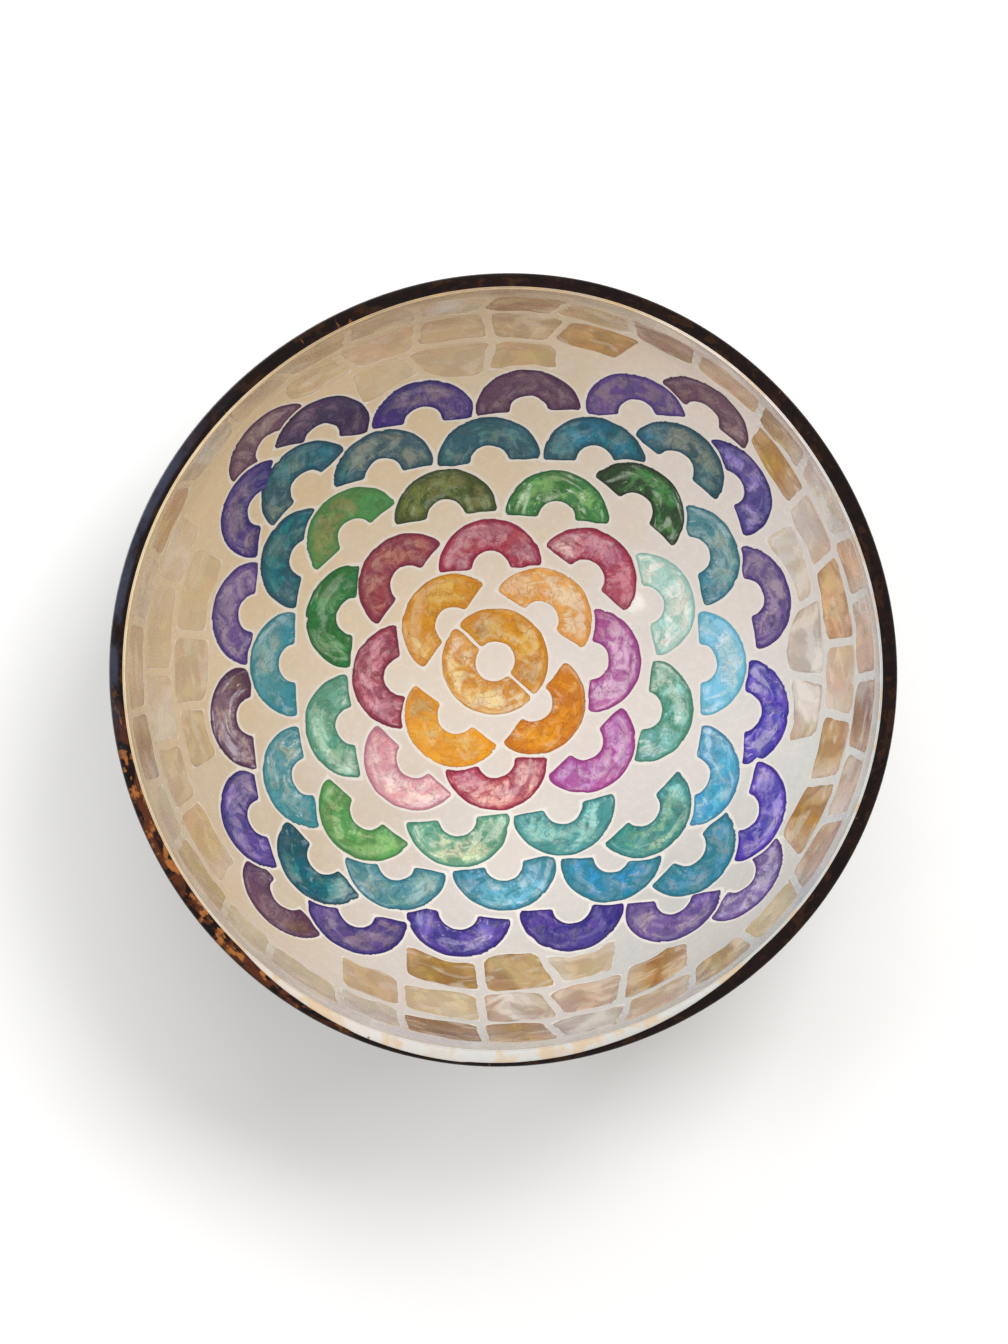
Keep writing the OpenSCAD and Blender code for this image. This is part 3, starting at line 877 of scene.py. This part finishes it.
def pearl_figure_group():
    """The figure of a slice of shell: blotches, mottle, pearly layers, veins, grain and glints."""
    tree, given, made = effect(
        "pearl_figure", {"Flow": "Vector", "Blotch Scale": "Float"},
        ("Blotch", "Mottle", "Layers", "Vein", "Grain", "Hue", "Glint", "Speck", "Facet"))
    flow = given["Flow"]
    ridge = calculate("ABSOLUTE", calculate("SUBTRACT", noise_at(flow, 0.24, 2.5, 0.5, 1.4), 0.5))
    crack = cells(flow, 0.3, "DISTANCE_TO_EDGE")
    bent = vectors("ADD", flow, stretch(noise_at(flow, 0.45, 2.0, output=1), (2.6, 2.6, 0.0)))
    for label, value in {
            "Blotch": ease(noise_at(flow, given["Blotch Scale"], 2.0, 0.45, 0.8), 0.42, 0.6),
            "Mottle": ease(noise_at(flow, 0.55, 3.0, 0.5, 0.9), 0.55, 0.63),
            "Layers": ease(noise_at(stretch(flow, (0.36, 1.0, 1.0)), 0.44, 2.5, 0.5, 0.9), 0.52, 0.66),
            "Vein": calculate("MAXIMUM", ease(ridge, 0.014, 0.003), ease(crack, 0.026, 0.008, 0.0, 0.5)),
            "Grain": noise_at(flow, 2.4, 3.0, 0.6),
            "Hue": noise_at(flow, 0.3, 2.0),
            "Glint": ease(noise_at(stretch(flow, (0.6, 1.2, 1.0)), 0.9, 2.0, 0.5, 0.8), 0.64, 0.72),
            "Speck": ease(cells(flow, 0.5), 0.15, 0.07),
            "Facet": ease(cells(bent, 0.4, output="Color"), 0.3, 0.72)}.items():
        tree.links.new(value, made[label])


def edge_dye_group():
    """Where dye has gathered along a piece's edge, broken up so that the line isn't even."""
    tree, given, made = effect("edge_dye", {"Edge": "Float", "Flow": "Vector", "Width": "Float"}, ("Mask",))
    ragged = noise_at(given["Flow"], 1.1, 3.0, 0.6)
    share = calculate("DIVIDE", given["Edge"], times(given["Width"], ease(ragged, 0.3, 0.7, 0.65, 1.4)))
    tree.links.new(ease(share, 1.0, 0.35), made["Mask"])


def new_material(name, coat, coat_roughness, specular=0.5):
    """A material, its tree and its Principled BSDF, with the plain numbers set on the shader itself."""
    material = bpy.data.materials.new(name)
    material.use_nodes = True
    tree = material.node_tree
    tree.nodes.clear()
    shader = tree.nodes.new("ShaderNodeBsdfPrincipled")
    tree.links.new(shader.outputs[0], tree.nodes.new("ShaderNodeOutputMaterial").inputs[0])
    shader.inputs["Coat Weight"].default_value = coat
    shader.inputs["Coat Roughness"].default_value = coat_roughness
    shader.inputs["Specular IOR Level"].default_value = specular
    return material, tree, shader


def wire(tree, shader, tint, roughness, height, distance, strength):
    """Links a shader's colour and roughness, and a bump made from a height."""
    bump = node("Bump", {"Height": height, "Strength": strength, "Distance": distance}).outputs[0]
    for label, value in (("Base Color", tint), ("Roughness", roughness), ("Normal", bump)):
        tree.links.new(value, shader.inputs[label])


def slab_attributes(tree):
    """What a slab's layers hold: body, dye, flow, edge and streak."""
    return (*(attribute(tree, name, "Color") for name in ("body", "dye")), attribute(tree, "flow", "Vector"),
            attribute(tree, "edge"), attribute(tree, "streak"))


def dyed_shell(family):
    """Mother-of-pearl that has been dyed: the dye darkens the edges, pools in blotches and fills veins."""
    blotch_scale, edge_width, edge_strength, spread, ash, shard, gleam = DYED_SHELLS[family]
    gleam = (*paint(gleam), 1)
    material, tree, shader = new_material(family + "_shell", 0.45, 0.08, 0.3)
    body, dye, flow, edge, streak = slab_attributes(tree)
    figure = placed("pearl_figure", Flow=flow, Blotch_Scale=blotch_scale)
    soak = placed("edge_dye", Edge=edge, Flow=flow, Width=SOAK_WIDTH)["Mask"]
    line = placed("edge_dye", Edge=edge, Flow=flow, Width=edge_width)["Mask"]
    dark = blend(0.32, dye, INK)
    ashen = blend(1.0, tinted(body, Saturation=0.3, Value=1.02), (1.0, 0.9, 0.76, 1), "MULTIPLY")
    tint = blend(times(ease(figure["Hue"], 0.47, 0.6), ash), body, ashen)
    gathered = calculate("MAXIMUM", times(figure["Blotch"], spread), times(soak, 0.78))
    tint = blend(gathered, tint, dye)
    tint = blend(times(figure["Mottle"], 0.3), tint, dark)
    tint = blend(times(figure["Layers"], streak), tint, blend(0.7, body, gleam))
    tint = blend(times(figure["Glint"], times(streak, 0.85)), tint, gleam)
    tint = blend(times(figure["Vein"], 0.5), tint, dark)
    facet = figure["Facet"]
    tint = tinted(tint, Hue=ease(facet, 0.0, 1.0, 0.5 - 0.01 * shard, 0.5 + 0.01 * shard), Saturation=1.06,
                  Value=ease(facet, 0.0, 1.0, 1 - 0.13 * shard, 1 + 0.11 * shard))
    tint = blend(times(line, edge_strength), tint, dark)
    tint = blend(times(figure["Speck"], 0.5), tint, dark)
    height = calculate("SUBTRACT", plus(figure["Layers"], figure["Mottle"]), times(figure["Vein"], 1.5))
    wire(tree, shader, tint, ease(figure["Grain"], 0.3, 0.7, 0.2, 0.34), height, 0.06 * MM, 0.6)
    return material


def natural_shell(finish):
    """Undyed shell under a film of lacquer, with soft edges, and the painted wall shade."""
    material, tree, shader = new_material("natural_shell", 0.7, 0.1)
    body, dye, flow, edge, streak = slab_attributes(tree)
    place = tree.nodes.new("ShaderNodeTexCoord").outputs["Object"]
    figure = placed("pearl_figure", Flow=flow, Blotch_Scale=0.16)
    line = placed("edge_dye", Edge=edge, Flow=flow, Width=0.7)["Mask"]
    tint = blend(times(figure["Blotch"], 0.5), body, dye)
    tint = blend(times(line, ease(figure["Hue"], 0.4, 0.6, 0.0, 0.5)), tint, dye)
    tint = blend(times(figure["Layers"], 0.4), tint, (*paint((240, 232, 220)), 1))
    tint = tinted(tint, Hue=ease(figure["Hue"], 0.3, 0.7, 0.485, 0.515), Saturation=1.1,
                  Value=ease(figure["Facet"], 0.0, 1.0, 0.88, 1.06))
    tint = blend(streak, painted_wall_shade(place, tint), cream_with_painted_shade(place, finish))
    wire(tree, shader, tint, ease(figure["Grain"], 0.3, 0.7, 0.22, 0.36), figure["Layers"], 0.03 * MM, 0.5)
    return material


def cream_with_painted_shade(place, finish):
    """The lacquer's cream with random clouds, and painted light: warm shade towards the upper left and cool
    grey light towards the lower right, then the painted wall shade.
    """
    cloud = noise_at(place, 42.0, 3.0, 0.6, 0.4)
    # Painted light across the bowl: warm shade towards the upper left, cool grey towards the lower right
    light_slant = plus(vectors("DOT_PRODUCT", place, (-6.0, 4.4, 0.0), "Value"), times(cloud, 0.5))
    base = blend(ease(light_slant, 0.0, 0.68), (*finish.cream, 1), (*finish.cream_warm_shade, 1))
    return painted_wall_shade(place, blend(ease(light_slant, 0.22, -0.3), base, (*finish.cream_grey_light, 1)))


def painted_wall_shade(place, tint):
    """Paints shade into a colour: darker towards the lower side, tan shade at the top brink and grey shade at
    the right.
    """
    brink = ease(node("SeparateXYZ", {0: place}).outputs["Z"], *BRINK_SHADE_HEIGHTS)
    # Where each painted shade holds, the way that it lies, and from where to where (mm) it comes in that way
    for mask, way, near, far, painted_shade_factor in (
            (1.0, (-0.14, -0.99, 0), 0, 36, (0.82, 0.82, 0.81, 1)),
            (brink, (-0.2, 0.98, 0), 50, 64, (0.62, 0.56, 0.52, 1)),
            (brink, (0.98, 0.2, 0), 50, 64, (0.8, 0.82, 0.85, 1))):
        towards = vectors("DOT_PRODUCT", place, way, "Value")
        tint = blend(times(mask, ease(towards, near * MM, far * MM)), tint, painted_shade_factor, "MULTIPLY")
    return tint


def cream_lacquer(finish):
    """Glossy cream lacquer with faint ripples, a few caught specks, painted shade, and a painted highlight
    where it climbs to the pieces.
    """
    material, tree, shader = new_material("cream_lacquer", 0.6, 0.07)
    place = tree.nodes.new("ShaderNodeTexCoord").outputs["Object"]
    fine, near = noise_at(place, 620.0, 3.0, 0.6), attribute(tree, "near")
    tint = tinted(cream_with_painted_shade(place, finish), Value=ease(fine, 0.3, 0.7, 0.975, 1.02))
    # Painted highlight: the lacquer turns paler where it climbs to a piece's edge
    tint = blend(times(ease(near, 0.6, 0.15), 0.75), tint, (*finish.meniscus_highlight, 1))
    rubbed = times(attribute(tree, "lip"), ease(noise_at(place, 210.0, 3.0), 0.48, 0.62))
    tint = blend(times(rubbed, 0.6), tint, (*finish.lip_gold, 1))
    chosen = ease(noise_at(place, 60.0, 1.0), 0.6, 0.64)
    speck = times(ease(cells(place, 150.0), 0.055, 0.03), chosen)
    tint = blend(times(speck, 0.7), tint, (*paint((92, 66, 48)), 1))
    swell = plus(noise_at(place, 110.0, 2.0), ease(near, 0.9, 0.0, 0.0, 0.6))
    wire(tree, shader, tint, ease(fine, 0.3, 0.7, 0.2, 0.3), swell, 0.12 * MM, 0.5)
    return material


def polished_coconut(finish):
    """Dark polished coconut with streaks that run from the foot to the rim, golden where it is worn, with a
    painted blue-grey sheen at the left.
    """
    material, tree, shader = new_material("polished_coconut", 0.1, 0.12, 0.13)
    flow, wear = attribute(tree, "flow", "Vector"), attribute(tree, "wear")
    brown, gold = (*finish.coconut_brown, 1), (*finish.coconut_gold, 1)
    streak = noise_at(stretch(flow, (26, 26, 2.2)), 1.0, 5.0, 0.62, 0.35)
    fibre = noise_at(stretch(flow, (110, 110, 7)), 1.0, 3.0, 0.6, 0.2)
    fleck = noise_at(stretch(flow, (64, 64, 16)), 1.0, 2.0, 0.5)
    along = stretch(flow, (34, 34, 60))
    tint = blend(ease(streak, 0.5, 0.75, 0.0, 0.35), (*finish.coconut_dark, 1), brown)
    tint = blend(ease(fibre, 0.56, 0.76, 0.0, 0.25), tint, brown)
    tint = blend(ease(fleck, 0.7, 0.78, 0.0, 0.4), tint, gold)
    patch = ease(noise_at(along, 0.34, 3.0, 0.6, 0.6), 0.47, 0.58)
    tint = blend(times(wear, patch), tint, (*finish.coconut_worn, 1))
    bright = ease(noise_at(along, 0.62, 4.0, 0.6), 0.53, 0.62)
    tint = blend(times(times(wear, bright), 0.8), tint, gold)
    # Painted sheen: blue-grey patches stand for light reflected off the polished wall at the left
    sheen_patches = ease(noise_at(along, 0.35, 3.0, 0.6), 0.3, 0.62)
    tint = blend(times(attribute(tree, "sheen"), sheen_patches), tint, (*finish.coconut_sheen, 1))
    wire(tree, shader, tint, ease(fibre, 0.3, 0.75, 0.22, 0.42), plus(streak, fibre), 0.06 * MM, 0.5)
    return material


# The pieces


class BOWL_OT_coconut_shell(bpy.types.Operator):
    """Turns the half coconut, ground flat at the foot and cut level at the rim"""

    bl_idname = "bowl.coconut_shell"
    bl_label = "Coconut Shell"

    def execute(self, context):
        sizes = context.scene.bowl_sizes
        hollow, nut, rim, rounding = Hollow(sizes), Nut(sizes), sizes.rim_height, sizes.rim_rounding
        lining = sizes.base_thickness + sizes.fill_thickness
        zones = levels(("foot", 0, 6, 6), ("wall", 0, 44, 44), ("turn", 0, 7, 6), ("face", 1, 3, 3),
                       ("inner", 0, 27, 26))
        bm = bmesh.new()
        flow = bm.verts.layers.float_vector.new("flow")
        wear, sheen = bm.verts.layers.float.new("wear"), bm.verts.layers.float.new("sheen")

        def place(vert, level, bearing):
            zone, share = zones[level]
            rim_radius = nut.radius(bearing, rim)
            worn, sheen_share, height = 0.0, 0.0, rim
            if zone == "foot":
                radius, height, worn = nut.radius(bearing, 0) * share, 0, 0.35
            elif zone == "wall":
                height = (rim - rounding) * share ** 1.7
                radius = nut.radius(bearing, height)
                sheen_share = smooth(height, rim - 8 * MM, rim - 2 * MM)
            elif zone == "turn":
                bend = share * pi / 2
                wall_radius = nut.radius(bearing, rim - rounding)
                radius = wall_radius + (rim_radius - wall_radius) * share - rounding * (1 - cos(bend))
                height = rim - rounding * (1 - sin(bend))
                worn, sheen_share = share, 1
            elif zone == "face":
                inner_radius, _ = hollow.coat(hollow.rim_reach, lining, bearing)
                radius = rim_radius - rounding + (inner_radius - rim_radius + rounding) * share
                worn, sheen_share = 1, 0.9 * (share < 0.5)
            else:
                radius, height = hollow.coat(hollow.rim_reach * (1 - share), lining, bearing)
                worn = 1 - smooth(share, 0, 0.05)
            side = degrees(bearing) % 360
            vert.co = (*around(radius, bearing), height)
            vert[flow] = (*around(1, bearing), height / (30 * MM) + radius / (60 * MM))
            vert[wear] = worn * (0.06 + 0.94 * between(side, *WORN_SIDE))
            vert[sheen] = sheen_share * between(side, *SHEEN_SIDE)

        turned(bm, len(zones), TURNED_STEPS, place)
        add_piece("polished_coconut_shell", bm, polished_coconut(context.scene.bowl_finish),
                  "polished_coconut", "coconut_shell")
        return {"FINISHED"}


def between(value, begins, full, ends, gone):
    """1 from full to ends, and easing to 0 at begins and gone."""
    return smooth(value, begins, full) * (1 - smooth(value, ends, gone))


def lap(bearing):
    """How far the brushed lacquer laps over the cut edge of the coconut, most at one side."""
    off = apart(degrees(bearing), LAP_BEARING)
    swell = max(0, cos(radians(min(90, abs(off) * 90 / LAP_SPREAD))))
    return (LAP_WIDTH * swell ** 0.8 + 0.12 * scatter(round(off / 9)) * swell) * MM


class BOWL_OT_lacquer(bpy.types.Operator):
    """Coats the hollow with brushed lacquer, which laps over the rim, and with poured lacquer"""

    bl_idname = "bowl.lacquer"
    bl_label = "Lacquer Coats"

    def coat(self, hollow, start, stop, rows, steps, lapped):
        """A closed coat between two depths into the wall, with a rounded lip at the rim."""
        zones = levels(("top", 0, rows, rows), ("lip", 0, 7, 6), ("back", 1, 13, 12))
        bm = bmesh.new()
        lip, near = bm.verts.layers.float.new("lip"), bm.verts.layers.float.new("near")
        tops = []

        def place(vert, level, bearing):
            zone, share = zones[level]
            vert[near] = FAR / MM
            if zone == "top":
                radius, height = hollow.coat((hollow.rim_reach - 0.1 * MM) * share, start, bearing)
                tops.append(vert)
            elif zone == "lip":
                inner, outer = (hollow.coat(hollow.rim_reach, depth, bearing)[0] for depth in (start, stop))
                outer += lap(bearing) * lapped
                radius = (inner + outer) / 2 - (outer - inner) / 2 * cos(share * pi)
                height = hollow.rim + (0.02 + 0.1 * lapped) * MM * sin(share * pi) - 0.03 * MM * (share == 1)
                vert[lip] = 1.0
            else:
                radius, height = hollow.coat(hollow.rim_reach * (1 - share), stop, bearing)
            vert.co = (*around(radius, bearing), height)

        turned(bm, len(zones), steps, place)
        return bm, near, [vert for vert in tops if vert.is_valid]

    def seat_pieces(self, hollow, near, tops):
        """Sinks a seat under each inlaid piece, and notes how near the lacquer is to the pieces."""
        points = np.array([vert.co for vert in tops])
        for vert, away, veiled in zip(tops, *inlay_clearance(hollow, points)):
            vert[near] = veiled / MM
            if away < -SEAT_INSET:
                vert.co -= hollow.normal(vert.co) * SEAT_SHARE * hollow.sizes.fill_thickness

    def execute(self, context):
        hollow = Hollow(context.scene.bowl_sizes)
        fill, base = hollow.sizes.fill_thickness, hollow.sizes.base_thickness
        cream = cream_lacquer(context.scene.bowl_finish)
        brushed, _, _ = self.coat(hollow, fill, fill + base, 40, TURNED_STEPS, 1)
        add_piece("brushed_lacquer", brushed, cream, "cream_lacquer", "lacquer_base")
        poured, near, tops = self.coat(hollow, 0, fill, POURED_ROWS, POURED_STEPS, 0)
        self.seat_pieces(hollow, near, tops)
        add_piece("poured_lacquer", poured, cream, "cream_lacquer", "lacquer_fill")
        return {"FINISHED"}


class BOWL_OT_middle_ring(bpy.types.Operator):
    """Lays the two halves of the ring in the middle"""

    bl_idname = "bowl.middle_ring"
    bl_label = "Middle Ring"

    def execute(self, context):
        material = dyed_shell("amber")
        for half, ring in middle_halves(Hollow(context.scene.bowl_sizes)).items():
            bm, layers = new_slabs()
            half_ring_slab(bm, layers, ring)
            add_piece("middle_half_" + half, bm, material, "amber_shell", "middle_ring_" + half)
        return {"FINISHED"}


def lay_family(context, family, per_piece=1):
    """Lays a colour's half rings, one piece for each CAD node."""
    rings = laid_rings(Hollow(context.scene.bowl_sizes))[family]
    material = dyed_shell(family)
    word = "petal_" if per_piece == 1 else "petals_"
    for start in range(0, len(rings), per_piece):
        bm, layers = new_slabs()
        for ring in rings[start:start + per_piece]:
            half_ring_slab(bm, layers, ring)
        number = start // per_piece + 1
        add_piece(f"{family}_half_ring_{number}", bm, material, family + "_shell",
                  f"{family}_{word}{number}")
    return {"FINISHED"}


class BOWL_OT_orange_rings(bpy.types.Operator):
    """Lays the four orange half rings"""

    bl_idname = "bowl.orange_rings"
    bl_label = "Orange Half Rings"

    def execute(self, context):
        return lay_family(context, "orange")


class BOWL_OT_pink_rings(bpy.types.Operator):
    """Lays the eight pink half rings"""

    bl_idname = "bowl.pink_rings"
    bl_label = "Pink Half Rings"

    def execute(self, context):
        return lay_family(context, "pink")


class BOWL_OT_green_rings(bpy.types.Operator):
    """Lays the twelve green half rings"""

    bl_idname = "bowl.green_rings"
    bl_label = "Green Half Rings"

    def execute(self, context):
        return lay_family(context, "green")


class BOWL_OT_teal_rings(bpy.types.Operator):
    """Lays the sixteen teal half rings"""

    bl_idname = "bowl.teal_rings"
    bl_label = "Teal Half Rings"

    def execute(self, context):
        return lay_family(context, "teal")


class BOWL_OT_purple_rings(bpy.types.Operator):
    """Lays the twenty purple half rings, five to a side"""

    bl_idname = "bowl.purple_rings"
    bl_label = "Purple Half Rings"

    def execute(self, context):
        return lay_family(context, "purple", PURPLE_SIDE_COUNT)


class BOWL_OT_shell_tiles(bpy.types.Operator):
    """Lays the courses of natural shell tiles between the half rings and the rim"""

    bl_idname = "bowl.shell_tiles"
    bl_label = "Natural Shell Tiles"

    def execute(self, context):
        hollow = Hollow(context.scene.bowl_sizes)
        material = natural_shell(context.scene.bowl_finish)
        for course in range(TILE_COURSES):
            bm, layers = new_slabs()
            for index, corners in enumerate(tile_slots(hollow, course)):
                tile_slab(bm, layers, hollow, corners, 40 * course + index)
            add_piece(f"natural_tiles_{course + 1}", bm, material, "natural_shell",
                      f"shell_tiles_{course + 1}")
        return {"FINISHED"}


# The stage


def leaning(bearing, tilt):
    """The direction that leans from straight up towards a bearing."""
    return Vector((*around(sin(tilt), bearing), cos(tilt)))


def add_lamp(name, bearing, tilt, distance, size, power, rgb, mirrored, target):
    """A soft square lamp that looks at the bowl, and may be kept out of its reflections."""
    lamp = bpy.data.lights.new(name, "AREA")
    lamp.size, lamp.energy, lamp.color = size, power, rgb
    way = leaning(radians(bearing), radians(tilt))
    holder = bpy.data.objects.new(name, lamp)
    holder.location = target + way * distance
    holder.rotation_mode = "QUATERNION"
    holder.rotation_quaternion = way.to_track_quat("Z", "Y")
    holder.visible_glossy = mirrored
    bpy.context.scene.collection.objects.link(holder)
    return holder


class BOWL_OT_stage(bpy.types.Operator):
    """Sets the floor, the lamps and the camera"""

    bl_idname = "bowl.stage"
    bl_label = "Stage"

    def floor(self, stage):
        bm = bmesh.new()
        bmesh.ops.create_grid(bm, x_segments=1, y_segments=1, size=FLOOR_REACH)
        bmesh.ops.translate(bm, verts=bm.verts, vec=(0, 0, -FLOOR_DROP))
        mesh = bpy.data.meshes.new("floor")
        bm.to_mesh(mesh)
        bm.free()
        plane = bpy.data.objects.new("floor", mesh)
        bpy.context.scene.collection.objects.link(plane)
        material = bpy.data.materials.new("floor_paper")
        material.use_nodes = True
        tree = material.node_tree
        tree.nodes.clear()
        paper = node("BsdfDiffuse", {"Color": (*stage.floor_colour, 1)}, tree).outputs[0]
        clear = tree.nodes.new("ShaderNodeBsdfTransparent").outputs[0]
        below = tree.nodes.new("ShaderNodeNewGeometry").outputs["Backfacing"]
        both = node("MixShader", {0: below, 1: paper, 2: clear}).outputs[0]
        tree.links.new(both, tree.nodes.new("ShaderNodeOutputMaterial").inputs[0])
        mesh.materials.append(material)
        return plane

    def world(self):
        world = bpy.data.worlds.new("studio")
        bpy.context.scene.world = world
        world.use_nodes = True
        tree = world.node_tree
        tree.nodes.clear()
        rays = tree.nodes.new("ShaderNodeLightPath").outputs
        seen = calculate("MAXIMUM", rays["Is Camera Ray"], rays["Is Transmission Ray"])
        dim, white = (node("Background", {"Color": tint, "Strength": strength}, tree).outputs[0]
                      for tint, strength in ((SKY_COLOUR, SKY_STRENGTH), (WHITE, 1.0)))
        tree.links.new(node("MixShader", {0: seen, 1: dim, 2: white}).outputs[0],
                       tree.nodes.new("ShaderNodeOutputWorld").inputs[0])

    def camera(self, stage, target):
        back = leaning(stage.tilt_bearing, stage.tilt)
        right = Vector((0, 1, 0)).cross(back).normalized()
        lens = bpy.data.cameras.new("camera")
        lens.lens, lens.sensor_width = stage.lens, SENSOR_WIDTH
        holder = bpy.data.objects.new("camera", lens)
        turn = Matrix((right, back.cross(right), back)).transposed().to_4x4()
        holder.matrix_world = Matrix.Translation(target + back * stage.distance) @ turn
        bpy.context.scene.collection.objects.link(holder)
        bpy.context.scene.camera = holder

    def execute(self, context):
        stage = context.scene.bowl_stage
        target = Vector((0, 0, context.scene.bowl_sizes.rim_height))
        floor = self.floor(stage)
        self.world()
        lamps = {name: add_lamp(name, *row, target) for name, row in LAMPS.items()}
        floor_only = bpy.data.collections.new("floor_only")
        floor_only.objects.link(floor)
        lamps["floor_lamp"].light_linking.receiver_collection = floor_only
        self.camera(stage, target)
        context.scene.view_settings.view_transform = "Standard"
        return {"FINISHED"}


class BOWL_PT_panel(bpy.types.Panel):
    """Lists the bowl's pieces"""

    bl_label = "Inlaid Bowl"
    bl_space_type = "VIEW_3D"
    bl_region_type = "UI"
    bl_category = "Bowl"

    def draw(self, context):
        for operator in OPERATORS:
            self.layout.operator(operator.bl_idname)
        for holder in (context.scene.bowl_sizes, context.scene.bowl_finish, context.scene.bowl_stage):
            box = self.layout.box()
            for name in holder.__annotations__:
                box.prop(holder, name)


OPERATORS = (
    BOWL_OT_coconut_shell, BOWL_OT_lacquer, BOWL_OT_middle_ring, BOWL_OT_orange_rings,
    BOWL_OT_pink_rings, BOWL_OT_green_rings, BOWL_OT_teal_rings, BOWL_OT_purple_rings,
    BOWL_OT_shell_tiles, BOWL_OT_stage,
)
CLASSES = (BowlSizes, BowlFinish, BowlStage, *OPERATORS, BOWL_PT_panel)


def register():
    for made in CLASSES:
        bpy.utils.register_class(made)
    bpy.types.Scene.bowl_sizes = PointerProperty(type=BowlSizes)
    bpy.types.Scene.bowl_finish = PointerProperty(type=BowlFinish)
    bpy.types.Scene.bowl_stage = PointerProperty(type=BowlStage)


def unregister():
    del bpy.types.Scene.bowl_stage
    del bpy.types.Scene.bowl_finish
    del bpy.types.Scene.bowl_sizes
    for made in reversed(CLASSES):
        bpy.utils.unregister_class(made)


def main():
    """Builds the bowl and its stage."""
    register()
    pearl_figure_group()
    edge_dye_group()
    for operator in OPERATORS:
        area, name = operator.bl_idname.split(".")
        getattr(getattr(bpy.ops, area), name)()


if __name__ == "__main__":
    main()
